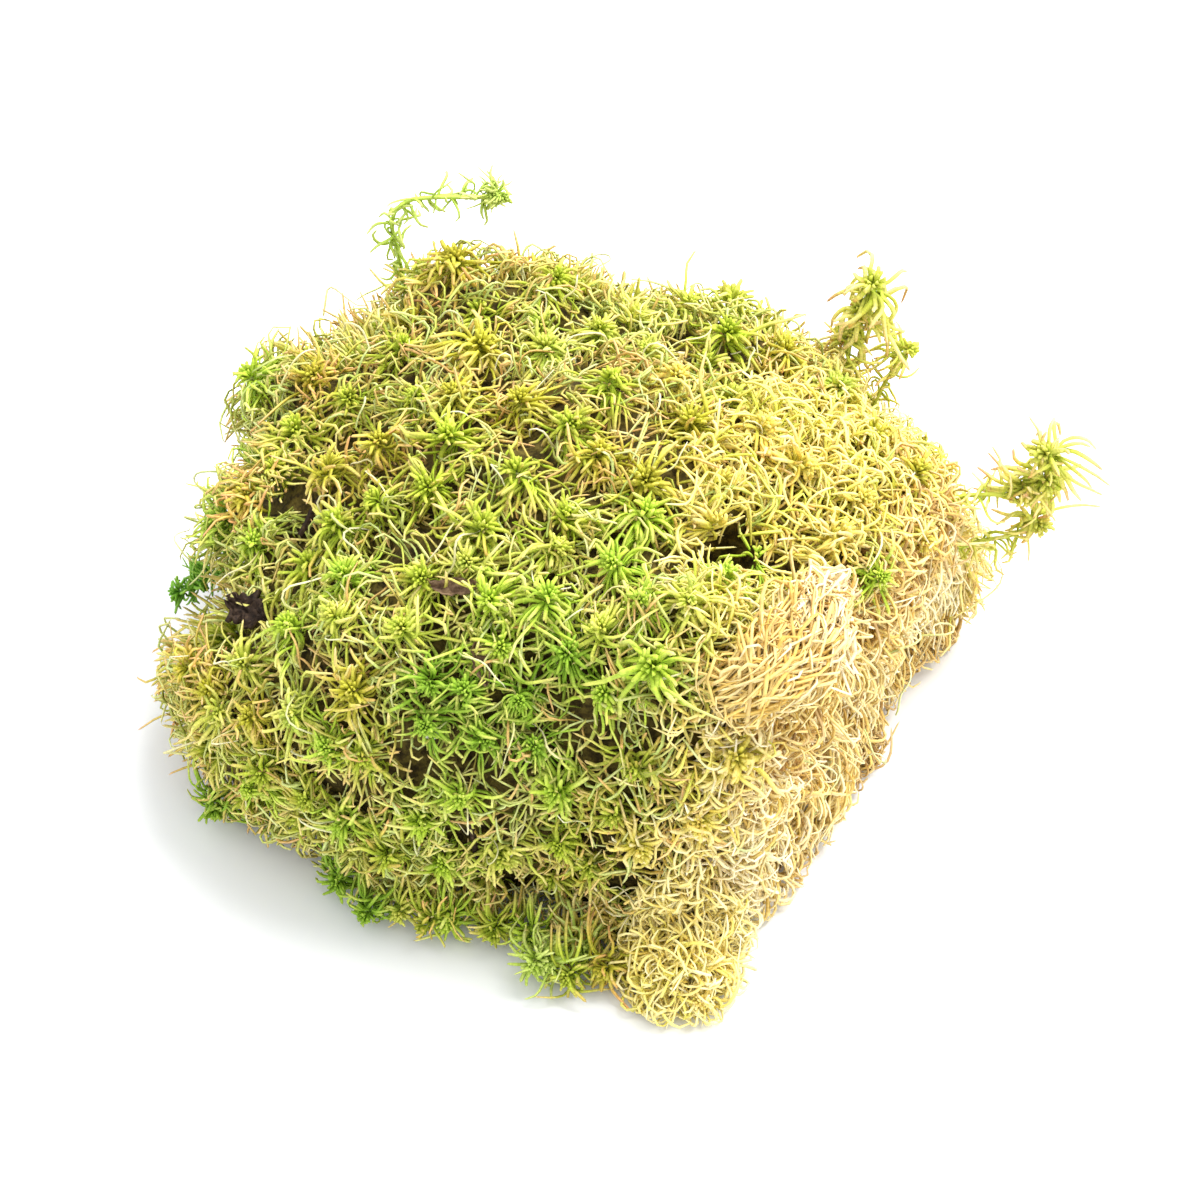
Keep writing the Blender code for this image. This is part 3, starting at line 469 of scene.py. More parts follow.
def grown(roots, headings, lengths, bends, curls, steps, deepest=None, highest=None,
          depth=depth_in_mass, windings=(0.5, 1.3), bundle=1):
    """Centre lines of strands. Each starts along its heading, then bends and curls as it grows,
    alike in a bundle. It is led back towards the form where it runs too deep or too high."""
    count, fine = len(roots), 2 * steps
    kin = np.arange(count) // bundle
    axes = unit(np.cross(headings, RNG.normal(size=(count, 3))[kin]))
    phase = RNG.uniform(0, TURN, count)[kin] + RNG.normal(0, 0.25, count)
    waves = RNG.uniform(*windings, count)[kin]
    heading, point = unit(headings), roots
    lines = np.empty((count, steps + 1, 3))
    lines[:, 0] = roots
    for k in range(fine):
        rate = curls * (0.5 + np.sin(TURN * waves * k / fine + phase)) * TURN / fine
        heading = heading + np.cross(axes, heading) * rate[:, None] + bends / fine
        if deepest is not None and k % 2:
            level = depth(point)
            lift = np.clip((level - deepest) / MM, 0, MOST_STRAY) * STEERING
            if highest is not None:
                lift = lift - np.clip((-highest - level) / MM, 0, MOST_STRAY) * STEERING
            heading = heading + outward(point, depth) * lift[:, None]
        low = (point[:, 2] < 3 * FLOOR_CLEARANCE) & (heading[:, 2] < 0)
        heading[:, 2] = np.where(low, LOW_RISE, heading[:, 2])
        heading = unit(heading)
        point = point + heading * (lengths / fine)[:, None]
        point[:, 2] = np.maximum(point[:, 2], FLOOR_CLEARANCE)
        if k % 2:
            lines[:, k // 2 + 1] = point
    return lines


def strands(lines, radii, shape, tones, ripe=1.0):
    """Tapered round strands along centre lines, as corners, faces and their places on the map.
    Across the map runs the tone of the strand, and up it the way from root to tip. Young strands
    are less ripe, so that they end before the colours of the tips. Few lie over an opening."""
    clear = (from_openings(lines)[0] > OPENING_CLEAR).all(1)
    clear = clear | (RNG.random(len(lines)) < OPENING_CROSSED)
    lines, radii, tones = lines[clear], radii[clear], tones[clear]
    lines[:, -2] += BLUNTNESS * (lines[:, -1] - lines[:, -2])
    count, steps = len(lines), lines.shape[1] - 1
    profile = np.interp(np.linspace(0, 1, steps + 1), np.linspace(0, 1, len(shape)), shape)
    tangents = unit(np.gradient(lines, axis=1))
    across = unit(np.cross(tangents[:, 0], RNG.normal(size=(count, 3))))
    rings = []
    for k in range(steps):
        across = unit(across - tangents[:, k] * (across * tangents[:, k]).sum(1)[:, None])
        other = np.cross(tangents[:, k], across)
        for side in range(STRAND_SIDES):
            angle = side / STRAND_SIDES * TURN
            out = across * math.cos(angle) + other * math.sin(angle)
            rings.append(lines[:, k] + out * (radii * profile[k])[:, None])
    corners = np.stack(rings + [lines[:, -1]], 1)
    corners[..., 2] = np.maximum(corners[..., 2], FLOOR_CLEARANCE / 2)
    per_strand = corners.shape[1]
    quads, tips = [], []
    for k in range(steps - 1):
        for side in range(STRAND_SIDES):
            a, b = k * STRAND_SIDES + side, k * STRAND_SIDES + (side + 1) % STRAND_SIDES
            quads.append((a, b, b + STRAND_SIDES, a + STRAND_SIDES))
    for side in range(STRAND_SIDES):
        a, b = side, (side + 1) % STRAND_SIDES
        last = (steps - 1) * STRAND_SIDES
        tips.append((last + a, last + b, per_strand - 1))
    first = np.arange(count)[:, None, None] * per_strand
    tone = np.clip(tones, TONE_WIDTH, 1 - TONE_WIDTH)[:, None, None]
    left, right = tone - TONE_WIDTH / 2, tone + TONE_WIDTH / 2
    run = np.repeat(np.arange(steps - 1) / steps, STRAND_SIDES)[None, :, None]
    ones = np.ones((count, run.shape[1], 1))
    quad_map = np.stack([
        np.concatenate([left * ones, right * ones, right * ones, left * ones], 2),
        np.concatenate([run, run, run + 1 / steps, run + 1 / steps], 2) * ones * ripe,
    ], -1)
    tip_ones = np.ones((count, STRAND_SIDES, 1))
    tip_map = np.stack([
        np.concatenate([left * tip_ones, right * tip_ones, tone * tip_ones], 2),
        np.concatenate([tip_ones * (1 - 1 / steps), tip_ones * (1 - 1 / steps), tip_ones], 2)
        * ripe,
    ], -1)
    return (corners.reshape(-1, 3), (first + np.array(quads)).reshape(-1, 4),
            (first + np.array(tips)).reshape(-1, 3), quad_map.reshape(-1, 2),
            tip_map.reshape(-1, 2))


def strand_mesh(name, batches):
    """One mesh of several batches of strands."""
    shift, corners, loops, starts, places = 0, [], [], [], []
    for points, quads, tips, quad_map, tip_map in batches:
        corners.append(points)
        loops += [(quads + shift).ravel(), (tips + shift).ravel()]
        starts += [np.full(len(quads), 4), np.full(len(tips), 3)]
        places += [quad_map, tip_map]
        shift += len(points)
    corners, loops = np.concatenate(corners), np.concatenate(loops)
    sizes, places = np.concatenate(starts), np.concatenate(places)
    mesh = bpy.data.meshes.new(name)
    mesh.vertices.add(len(corners))
    mesh.vertices.foreach_set("co", corners.astype(np.float32).ravel())
    mesh.loops.add(len(loops))
    mesh.loops.foreach_set("vertex_index", loops.astype(np.int32))
    mesh.polygons.add(len(sizes))
    first = np.concatenate([[0], np.cumsum(sizes)[:-1]])
    mesh.polygons.foreach_set("loop_start", first.astype(np.int32))
    layer = mesh.uv_layers.new(name="OFBake")
    layer.uv.foreach_set("vector", places.astype(np.float32).ravel())
    mesh.update(calc_edges=True)
    return mesh


def strand_finish(name, tones, roughness, darkest):
    """The colour of strands: each tone runs from root to tip, and the strands lie between
    neighbouring tones, some lighter and some darker, with a faint grain of small leaves."""
    material, nodes, links, shader = new_material(name, roughness)
    place = nodes.new("ShaderNodeUVMap")
    place.uv_map = "OFBake"
    split = nodes.new("ShaderNodeSeparateXYZ")
    links.new(place.outputs["UV"], split.inputs["Vector"])
    colour = None
    for index, stops in enumerate(tones):
        ramp = colour_ramp(nodes, stops)
        links.new(split.outputs["Y"], ramp.inputs["Fac"])
        if colour is None:
            colour = ramp.outputs["Color"]
            continue
        share = nodes.new("ShaderNodeMapRange")
        share.inputs["From Min"].default_value = (index - 1) / (len(tones) - 1)
        share.inputs["From Max"].default_value = index / (len(tones) - 1)
        links.new(split.outputs["X"], share.inputs["Value"])
        blend = nodes.new("ShaderNodeMix")
        blend.data_type = "RGBA"
        links.new(share.outputs["Result"], blend.inputs["Factor"])
        links.new(colour, blend.inputs["A"])
        links.new(ramp.outputs["Color"], blend.inputs["B"])
        colour = blend.outputs["Result"]
    shade = nodes.new("ShaderNodeTexNoise")
    shade.noise_dimensions = "1D"
    shade.inputs["Scale"].default_value = SHADE_SCALE
    shade.inputs["Detail"].default_value = 1.0
    links.new(split.outputs["X"], shade.inputs["W"])
    grain = nodes.new("ShaderNodeTexNoise")
    grain.noise_dimensions = "2D"
    grain.inputs["Scale"].default_value = GRAIN_SCALE
    grain.inputs["Detail"].default_value = 2.0
    stretch = nodes.new("ShaderNodeVectorMath")
    stretch.operation = "MULTIPLY"
    stretch.inputs[1].default_value = (GRAIN_STRETCH, 1.0, 1.0)
    links.new(place.outputs["UV"], stretch.inputs[0])
    links.new(stretch.outputs["Vector"], grain.inputs["Vector"])
    total = nodes.new("ShaderNodeMath")
    total.operation = "MULTIPLY_ADD"
    total.inputs[1].default_value = SHADE_SHARE
    links.new(shade.outputs["Fac"], total.inputs[0])
    links.new(grain.outputs["Fac"], total.inputs[2])
    light = nodes.new("ShaderNodeMapRange")
    light.inputs["From Min"].default_value = 0.45
    light.inputs["From Max"].default_value = 1.10
    light.inputs["To Min"].default_value = darkest
    light.inputs["To Max"].default_value = BRIGHTEST
    links.new(total.outputs["Value"], light.inputs["Value"])
    lit = nodes.new("ShaderNodeHueSaturation")
    links.new(light.outputs["Result"], lit.inputs["Value"])
    links.new(colour, lit.inputs["Color"])
    links.new(lit.outputs["Color"], shader.inputs["Base Color"])
    return material


def add_strands(name, batches, colours, tones, slot, node, roughness=0.6, darkest=0.72):
    """A piece made of strands in these colours, which stands for this node."""
    finish = strand_finish(colours, tones, roughness, darkest)
    add_piece(name, strand_mesh(name, batches), finish, slot, node)


def across_from(normals):
    """Two directions square to each normal and to each other."""
    level = np.cross(np.array((0.0, 0.0, 1.0)), normals)
    level = unit(level + np.array((1e-6, 0.0, 0.0)))
    return level, np.cross(normals, level)


def fan(axis, polar, around):
    """Directions at these angles from an axis and round it."""
    level, slope = across_from(axis)
    ring = level * np.cos(around)[:, None] + slope * np.sin(around)[:, None]
    return axis * np.cos(polar)[:, None] + ring * np.sin(polar)[:, None]


def bundled_angles(count):
    """Angles round a stem. Branches come in bundles of two or three."""
    bundles = max(3, count // 2)
    angles = np.arange(count) % bundles / bundles * TURN
    return angles + RNG.normal(0, 0.16, count) + RNG.uniform(0, TURN)


def curliness(low, high, count):
    """How strongly strands curl, to either side."""
    return RNG.choice((-1, 1), count) * RNG.uniform(low, high, count)


def star(middle, axis, reach, fullness=1.0, depth=depth_in_mass, tiers=STAR_TIERS):
    """The branches of one head, three tiers and the young knot, as batches of strands."""
    batches = []
    size = (0.42 + 0.06 * reach / MM) * MM
    sweep = np.cross(axis, RNG.normal(size=3)) * abs(RNG.normal(0, 0.8))
    longer_side = np.cross(axis, RNG.normal(size=3)) * 0.30
    own_tone = RNG.uniform(0.1, 0.9)
    for number, (count, polar, length, radius, droop, curl, steps, ripe) in enumerate(tiers):
        count = max(5, round(count * fullness))
        headings = fan(axis, RNG.uniform(*polar, count), bundled_angles(count))
        roots = middle + headings * 0.6 * MM - axis * (0.4 + 0.9 * number) * MM
        bends = -axis * droop * RNG.uniform(0.3, 1.7, count)[:, None]
        bends = bends + np.array((0, 0, -0.25)) + sweep * (0.3 + 0.35 * number)
        lengths = reach * RNG.uniform(*length, count)
        lengths = lengths * np.clip(1 + headings @ longer_side, 0.75, 1.25)
        lines = grown(roots, headings, lengths, bends, curliness(*curl, count), steps,
                      np.full(count, 3.0 * MM), None, depth)
        batches.append(strands(lines, size * radius * RNG.uniform(0.74, 1.12, count),
                               BRANCH_SHAPE, own_tone + RNG.normal(0, 0.28, count), ripe))
    count = max(7, round(KNOT_COUNT * fullness))
    order = np.arange(count)
    headings = fan(axis, KNOT_SPREAD * np.sqrt((order + 0.5) / count), order * KNOT_TURN)
    lines = grown(middle + headings * 0.7 * MM, headings,
                  reach * 0.25 * RNG.uniform(*KNOT_LENGTH, count), np.zeros((count, 3)),
                  np.full(count, 0.03), len(YOUNG_SHAPE) - 1)
    batches.append(strands(lines, size * RNG.uniform(*KNOT_RADIUS, count), YOUNG_SHAPE,
                           own_tone + RNG.normal(0, 0.2, count), KNOT_RIPE))
    return batches


def skirt(middle, axis, reach, fullness):
    """The hanging branches under one head. They run out from it, over the mass and downhill."""
    count = round(SKIRT_COUNT * fullness)
    out = fan(axis, np.full(count, 1.5), RNG.uniform(0, TURN, count))
    roots = middle + out * reach * RNG.uniform(0.15, 0.6, count)[:, None]
    roots = roots - axis * RNG.uniform(1.2, 3.2, count)[:, None] * MM
    dent = dents(middle)
    headings = out + np.array((0, 0, -0.5)) + RNG.normal(0, 0.35, (count, 3))
    lines = grown(roots, headings, RNG.uniform(*SKIRT_LENGTH, count) * MM,
                  -axis * RNG.uniform(0, 1.0), curliness(0.2, 0.85, count), SKIRT_STEPS,
                  np.full(count, 3.2 * MM + dent), np.full(count, -0.2 * MM - dent))
    return strands(lines, MM * RNG.uniform(*SKIRT_RADIUS, count), BRANCH_SHAPE,
                   RNG.uniform(0, 1, count))


def even_directions(count, lowest=-0.75):
    """Directions spread evenly over a ball, from straight up to this height."""
    order = np.arange(count) + 0.5
    height = 1 - (1 - lowest) * order / count
    around = order * math.pi * (1 + 5**0.5)
    flat = np.sqrt(1 - height**2)
    return np.stack([flat * np.cos(around), flat * np.sin(around), height], -1)


def scattered(count):
    """About this many points, spread evenly over the outer form."""
    directions = even_directions(3 * count)
    points = skin_along(directions)
    facing = (outward(points) * directions).sum(1)
    room = ((points - HEART) ** 2).sum(1) / np.maximum(facing, 0.3)
    return points[RNG.random(len(points)) < room / room.mean() / 3]


def on_torn_side(points):
    """From 0 on the living part to 1 on the torn side."""
    facing = outward(points) @ TORN_SIDE_FACES
    near = past_torn_side(points) + 11 * MM
    return np.clip((facing - 0.45) / 0.25, 0, 1) * np.clip(near / (7 * MM), 0, 1)


def bleached(points):
    """From 0 where the moss is green to 1 near the torn side, where it is straw yellow. The
    yellow part is narrow at the front and wide over the top."""
    start = np.clip(-12 * MM - 0.5 * (points[:, 1] + 55 * MM), -38 * MM, -12 * MM)
    start = start - shift_low_down(points)
    return np.clip((past_torn_side(points) - start) / (8 * MM) + 0.5, 0, 1)


def on_level(pixel, height):
    """The point at this height that the photograph shows at this pixel."""
    line = sight_line(pixel)
    return view_eye + line * (height - view_eye[2]) / line[2]


head_list = []
for tone, heads in HEADS_PX.items():
    for x, y, reach_px in heads:
        head_list.append((seen_on_mass((x, y)), reach_px * PX, tone, 1.0))
head_middles = [head[0] for head in head_list]
for point in skin_along(even_directions(HIDDEN_HEAD_TRIES)):
    if point[2] < HIDDEN_HEAD_LOWEST or on_torn_side(point[None])[0] > 0.3:
        continue
    if np.linalg.norm(np.array(head_middles) - point, axis=1).min() < HIDDEN_HEAD_SPACING:
        continue
    field = ripple(point[None], HEAD_PATCHES)[0] + RNG.normal(0, 0.35)
    tone = "gold" if field < -0.35 else "fresh" if field > 0.55 else "lime_gold"
    tone = "pale" if RNG.random() < PALE_SHARE else tone
    tone = "straw_lime" if bleached(point[None])[0] > 0.5 else tone
    head_middles.append(point)
    head_list.append((point, HIDDEN_HEAD_REACH * RNG.uniform(0.85, 1.2), tone, 0.62))
for x, y, reach_px, tone in LOW_HEADS_PX:
    head_list.append((on_level((x, y), LOW_HEAD_HEIGHT), reach_px * PX, tone, 0.9))

head_batches = {tone: [] for tone in HEADS_PX}
for point, reach, tone, fullness in head_list:
    normal = outward(point[None])[0]
    axis = unit(normal + np.array((0, 0, 0.25)) + RNG.normal(0, LEANING, 3))
    sink = RNG.uniform(*(HEAD_SINK if fullness > 0.8 else HIDDEN_SINK)) + dents(point)
    head_batches[tone] += star(point - normal * sink, axis, reach, fullness,
                               tiers=MOP_TIERS if tone == "straw_lime" else STAR_TIERS)
    head_batches[tone].append(skirt(point - normal * sink, normal, reach, fullness))
for tone, batches in head_batches.items():
    add_strands(tone + "_heads", batches, tone + "_branches", TONES[tone], "living_moss",
                "living_cushion")


# Branches between the heads: older and thinner ones that hang and curl under the stars, olive to
# tan, and fill the mass between them. A few long pale threads lie over everything.

BETWEEN_COUNT = 1450
BUNDLE = 4
BETWEEN_STEPS = 7
BETWEEN_LENGTH = (7, 15)
BETWEEN_RADIUS = (0.20, 0.34)
RELIEF = 2.6 * MM
BETWEEN_TONES = (
    ((0.0, (110, 112, 34)), (0.5, (160, 160, 62)), (1.0, (206, 184, 96))),
    ((0.0, (136, 150, 46)), (0.5, (186, 194, 78)), (1.0, (224, 214, 116))),
    ((0.0, (160, 176, 72)), (0.5, (206, 214, 112)), (1.0, (236, 230, 152))),
    ((0.0, (172, 192, 92)), (0.5, (206, 222, 134)), (1.0, (234, 236, 170))),
    ((0.0, (176, 164, 70)), (0.5, (222, 206, 108)), (1.0, (240, 212, 142))),
    ((0.0, (182, 150, 74)), (0.5, (224, 184, 110)), (1.0, (240, 190, 132))),
)
THREAD_COUNT = 150
THREAD_STEPS = 12
THREAD_LENGTH = (8, 20)
THREAD_RADIUS = (0.17, 0.27)
THREAD_SHAPE = (0.8, 1.0, 1.0, 1.0, 1.0, 1.0, 1.0, 0.95, 0.9, 0.8, 0.7, 0.5, 0.0)
THREAD_TONES = (
    ((0.0, (206, 218, 130)), (0.5, (232, 236, 176)), (1.0, (246, 242, 206))),
    ((0.0, (218, 212, 130)), (0.5, (242, 230, 170)), (1.0, (250, 240, 206))),
)


def relief(points):
    """How far the tangle stands out of the form or sinks into it at these points."""
    waves = 0.6 * ripple(points, 11 * MM) + 0.4 * ripple(points[:, [1, 2, 0]], 6 * MM)
    return RELIEF * waves - dents(points)


def bunched(points, size):
    """A direction field in which neighbouring strands run alike."""
    return np.stack([ripple(points, size), ripple(points[:, [2, 0, 1]] + 0.3, size),
                     ripple(points[:, [1, 2, 0]] + 0.7, size)], -1)


between_skin = scattered(BETWEEN_COUNT)
between_skin = between_skin[(on_torn_side(between_skin) < 0.5) & (between_skin[:, 2] > 1 * MM)]
between_skin = between_skin[RNG.random(len(between_skin)) > 0.8 * bleached(between_skin)]
for name, kept in (("front", between_skin[:, 1] < 0), ("back", between_skin[:, 1] >= 0)):
    middles = between_skin[kept]
    normals = outward(middles)
    bundles, count = len(middles), BUNDLE * len(middles)
    headings = fan(normals, RNG.uniform(0.6, 1.4, bundles), RNG.uniform(0, TURN, bundles))
    headings = headings + 0.5 * bunched(middles, 8 * MM) + np.array((0, 0, -0.15))
    normals = np.repeat(normals, BUNDLE, 0)
    points = np.repeat(middles, BUNDLE, 0) + RNG.normal(0, 0.9 * MM, (count, 3))
    headings = np.repeat(unit(headings), BUNDLE, 0) + RNG.normal(0, 0.22, (count, 3))
    curls = np.repeat(curliness(0.25, 1.0, bundles), BUNDLE) + RNG.normal(0, 0.12, count)
    lift = relief(points)
    roots = points + normals * (lift - RNG.uniform(1.8, 5.0, count) * MM)[:, None]
    lines = grown(roots, headings, RNG.uniform(*BETWEEN_LENGTH, count) * MM, -normals * 0.5,
                  curls, BETWEEN_STEPS, 4.4 * MM - lift, lift - 0.3 * MM, windings=(0.6, 1.6),
                  bundle=BUNDLE)
    field = 0.45 + 0.24 * ripple(points, 26 * MM) + RNG.normal(0, 0.26, count)
    field = field + 0.22 * np.clip((points[:, 2] - 55 * MM) / (15 * MM), 0, 1)
    between = [strands(lines, MM * RNG.uniform(*BETWEEN_RADIUS, count), BRANCH_SHAPE, field)]
    add_strands("branches_between_" + name, between, "older_branches_" + name, BETWEEN_TONES,
                "living_moss", "living_cushion")

thread_skin = skin_along(even_directions(THREAD_COUNT, -0.5))
thread_skin = thread_skin[thread_skin[:, 2] > 6 * MM]
count = len(thread_skin)
normals = outward(thread_skin)
headings = fan(normals, RNG.uniform(0.6, 1.3, count), RNG.uniform(0, TURN, count))
lines = grown(thread_skin - normals * 1.5 * MM, headings,
              RNG.uniform(*THREAD_LENGTH, count) * MM, -normals * 0.9,
              curliness(0.4, 1.3, count), THREAD_STEPS, np.full(count, 0.8 * MM),
              np.full(count, 2.0 * MM), windings=(0.8, 1.8))
threads = [strands(lines, MM * RNG.uniform(*THREAD_RADIUS, count), THREAD_SHAPE,
                   RNG.uniform(0, 1, count))]
add_strands("pale_threads", threads, "bleached_threads", THREAD_TONES, "living_moss",
            "living_cushion", 0.5)


# The torn side: dead bleached stems and their curled branches, packed and roughly combed down.
# They are thinner than the living branches, cream to yellow, and brown in their gaps. Longer
# straw yellow curls lie over the top beside it.

STRAW_TRIES = 9500
STRAW_COUNT = 3300
COMBED_PAST = 33 * MM
COMBED_BELOW = 46 * MM
STRAW_STEPS = 9
STRAW_LENGTH = (6, 15)
STRAW_RADIUS = (0.22, 0.38)
STRAW_SHAPE = (0.6, 0.85, 1.0, 1.0, 1.0, 1.0, 0.95, 0.85, 0.6, 0.0)
STRAW_TONES = (
    ((0.0, (156, 120, 68)), (0.4, (196, 162, 106)), (1.0, (222, 196, 144))),
    ((0.0, (200, 154, 72)), (0.4, (232, 194, 112)), (1.0, (242, 212, 146))),
    ((0.0, (228, 196, 96)), (0.4, (248, 222, 132)), (1.0, (252, 234, 172))),
    ((0.0, (240, 212, 138)), (0.4, (252, 234, 176)), (1.0, (254, 244, 208))),
    ((0.0, (232, 206, 140)), (0.4, (250, 232, 182)), (1.0, (254, 246, 216))),
)
STRAW_DARKEST = 0.84
CURL_COUNT = 2250
CURL_STEPS = 8
CURL_LENGTH = (7, 15)
CURL_TONES = (
    ((0.0, (196, 204, 66)), (0.4, (226, 228, 100)), (1.0, (244, 232, 142))),
    ((0.0, (222, 208, 84)), (0.4, (246, 232, 124)), (1.0, (252, 238, 164))),
    ((0.0, (244, 216, 104)), (0.4, (254, 232, 138)), (1.0, (255, 234, 166))),
    ((0.0, (252, 230, 138)), (0.4, (255, 242, 172)), (1.0, (255, 248, 206))),
)

straw_skin = np.repeat(scattered(STRAW_TRIES), 2, 0)
straw_skin = straw_skin + RNG.normal(0, 0.7 * MM, straw_skin.shape)
straw_share = on_torn_side(straw_skin)
chance = RNG.random(len(straw_skin))
curl_skin = straw_skin[(bleached(straw_skin) * (1 - straw_share) > chance)
                       & (straw_skin[:, 2] > 3 * MM)]
straw_skin = straw_skin[(straw_share > chance) & (straw_skin[:, 2] > 0.5 * MM)]
straw_skin = straw_skin[RNG.permutation(len(straw_skin))[:STRAW_COUNT]]
rank = RNG.random(len(curl_skin)) * (1 + 3.2 * np.clip(curl_skin[:, 2] / (45 * MM), 0, 1) ** 2)
curl_skin = curl_skin[np.argsort(rank)[:CURL_COUNT]]

count = len(straw_skin)
normals = outward(straw_skin)
lift = relief(straw_skin)
combed = np.clip((straw_skin[:, 0] - COMBED_PAST) / (10 * MM), 0, 1)
combed = combed * np.clip((COMBED_BELOW - straw_skin[:, 2]) / (12 * MM), 0, 1)
tangle = (1.2 - 0.8 * combed)[:, None]
headings = unit(np.array((0.0, 0.0, -0.8)) + tangle * bunched(straw_skin, 8 * MM)
                + RNG.normal(0, 0.35, (count, 3)) * tangle + normals * 0.3)
roots = straw_skin + normals * (lift - RNG.uniform(1.0, 6.0, count) * MM)[:, None]
lines = grown(roots, headings, RNG.uniform(*STRAW_LENGTH, count) * MM, -normals * 0.3,
              curliness(0.2, 1.2, count) * (1 - 0.7 * combed), STRAW_STEPS, 5.0 * MM - lift,
              lift - 0.3 * MM, windings=(0.8, 2.0))
field = 0.36 + 0.2 * ripple(straw_skin, 15 * MM) + RNG.normal(0, 0.2, count)
far_edge = np.clip((straw_skin[:, 0] - 30 * MM) / (12 * MM), 0, 1)
far_edge = far_edge * np.clip((16 * MM - straw_skin[:, 2]) / (14 * MM), 0, 1)
# Painted light: low at the front the dead stems take the paler, brighter cream tones, so that this
# steep low face looks as brightly lit as the top.
painted_light_low_front = np.clip((-42 * MM - straw_skin[:, 1]) / (8 * MM), 0, 1)
field = field + 0.30 * combed - 0.55 * far_edge + 0.42 * painted_light_low_front
straw = [strands(lines, MM * RNG.uniform(*STRAW_RADIUS, count), STRAW_SHAPE, field)]
add_strands("torn_side_stems", straw, "dead_branches", STRAW_TONES, "dead_stems", "straw_side",
            0.7, STRAW_DARKEST)

count = len(curl_skin)
normals = outward(curl_skin)
headings = fan(normals, RNG.uniform(0.6, 1.4, count), RNG.uniform(0, TURN, count))
headings = unit(headings + 0.9 * bunched(curl_skin, 9 * MM))
lift = relief(curl_skin)
roots = curl_skin + normals * (lift - RNG.uniform(1.5, 4.5, count) * MM)[:, None]
lines = grown(roots, headings, RNG.uniform(*CURL_LENGTH, count) * MM, -normals * 0.7,
              curliness(0.25, 1.1, count), CURL_STEPS, 3.6 * MM - lift, lift + 0.4 * MM,
              windings=(0.6, 1.6))
# Lower curls take the paler cream tones and higher ones the lime and yellow: partly the curls' own
# colour, partly painted light that keeps the steep low front as bright as the lit top.
field = 0.36 + 0.52 * np.clip((44 * MM - curl_skin[:, 2]) / (20 * MM), 0, 1)
curls = [strands(lines, MM * RNG.uniform(*STRAW_RADIUS, count), STRAW_SHAPE,
                 field + RNG.normal(0, 0.28, count))]
add_strands("straw_curls", curls, "straw_yellow_branches", CURL_TONES, "living_moss",
            "living_cushion", darkest=STRAW_DARKEST)


# The combed lock: a cream lock of dead stems folded over the top of the torn side. Its strands
# run along it and part at its lower end.

LOCK_PATH_PX = ((836, 596), (818, 607), (795, 632), (770, 660), (745, 686), (722, 708))
LOCK_LIFTS = (-1.5, 2.6, 3.6, 3.4, 2.6, -1.0)
LOCK_WIDTH = 15.5 * MM
LOCK_THICKNESS = 8.5 * MM
LOCK_COUNT = 600
LOCK_BUNDLE = 4
LOCK_STEPS = 10
LOCK_RADIUS = (0.22, 0.44)
LOCK_ROUTE_POINTS = 41
ROUTE_STEPS = 24
LOCK_TONES = (
    ((0.0, (226, 184, 88)), (0.5, (246, 212, 118)), (1.0, (252, 228, 152))),
    ((0.0, (218, 182, 116)), (0.5, (246, 220, 150)), (1.0, (252, 234, 178))),
    ((0.0, (238, 214, 168)), (0.5, (252, 234, 194)), (1.0, (254, 242, 212))),
)


def smooth_route(points, count):
    """Points at even steps along a smooth curve through the given ones."""
    given = np.array(points, float)
    padded = np.concatenate([[2 * given[0] - given[1]], given, [2 * given[-1] - given[-2]]])
    dense = []
    for i in range(len(given) - 1):
        a, b, c, d = padded[i:i + 4]
        for t in np.linspace(0, 1, ROUTE_STEPS, endpoint=False):
            dense.append(0.5 * (2 * b + (c - a) * t + (2 * a - 5 * b + 4 * c - d) * t**2
                                + (3 * b - a - 3 * c + d) * t**3))
    dense = np.array(dense + [given[-1]])
    run = np.concatenate([[0], np.cumsum(np.linalg.norm(np.diff(dense, axis=0), axis=1))])
    even = np.linspace(0, run[-1], count)
    return np.stack([np.interp(even, run, dense[:, axis]) for axis in range(3)], -1)


def along_route(route, shares):
    """Points at these shares of a route, or its directions there."""
    at = np.clip(shares, 0, 1) * (len(route) - 1)
    order = np.arange(len(route))
    return np.stack([np.interp(at, order, route[:, axis]) for axis in range(3)], -1)


lock_laid = np.array([seen_on_mass(pixel) for pixel in LOCK_PATH_PX])
lock_laid = lock_laid + outward(lock_laid) * np.array(LOCK_LIFTS)[:, None] * MM
lock_route = smooth_route(lock_laid, LOCK_ROUTE_POINTS)
lock_heading = unit(np.gradient(lock_route, axis=0))
lock_across = unit(np.cross(lock_heading, outward(lock_route)))
lock_up = np.cross(lock_across, lock_heading)
count = LOCK_COUNT
kin = np.arange(count) // LOCK_BUNDLE
start = RNG.uniform(-0.08, 0.72, count)[kin] + RNG.normal(0, 0.05, count)
run = RNG.uniform(0.25, 0.5, count)
around = RNG.uniform(0, TURN, count)[kin] + RNG.normal(0, 0.18, count)
out = np.sqrt(RNG.uniform(0.1, 1, count))
steps = np.linspace(0, 1, LOCK_STEPS + 1)
share = np.clip(start[:, None] + run[:, None] * steps, 0, 1)
swell = np.sin(math.pi * np.clip(share, 0.10, 0.86)) ** 0.5
splay = 1 + 0.5 * np.clip(share - 0.7, 0, 1) / 0.3 * RNG.uniform(0, 1, count)[:, None]
twist = around[:, None] + (RNG.normal(0, 1.0, count)[kin])[:, None] * steps
wide = LOCK_WIDTH / 2 * swell * splay * out[:, None] * np.cos(twist)
thick = LOCK_THICKNESS / 2 * swell * out[:, None] * np.sin(twist)
place, over, up = (along_route(way, share) for way in (lock_route, lock_across, lock_up))
phases = RNG.uniform(0, TURN, (2, count, 1))[:, kin] + RNG.normal(0, 0.4, (2, count, 1))
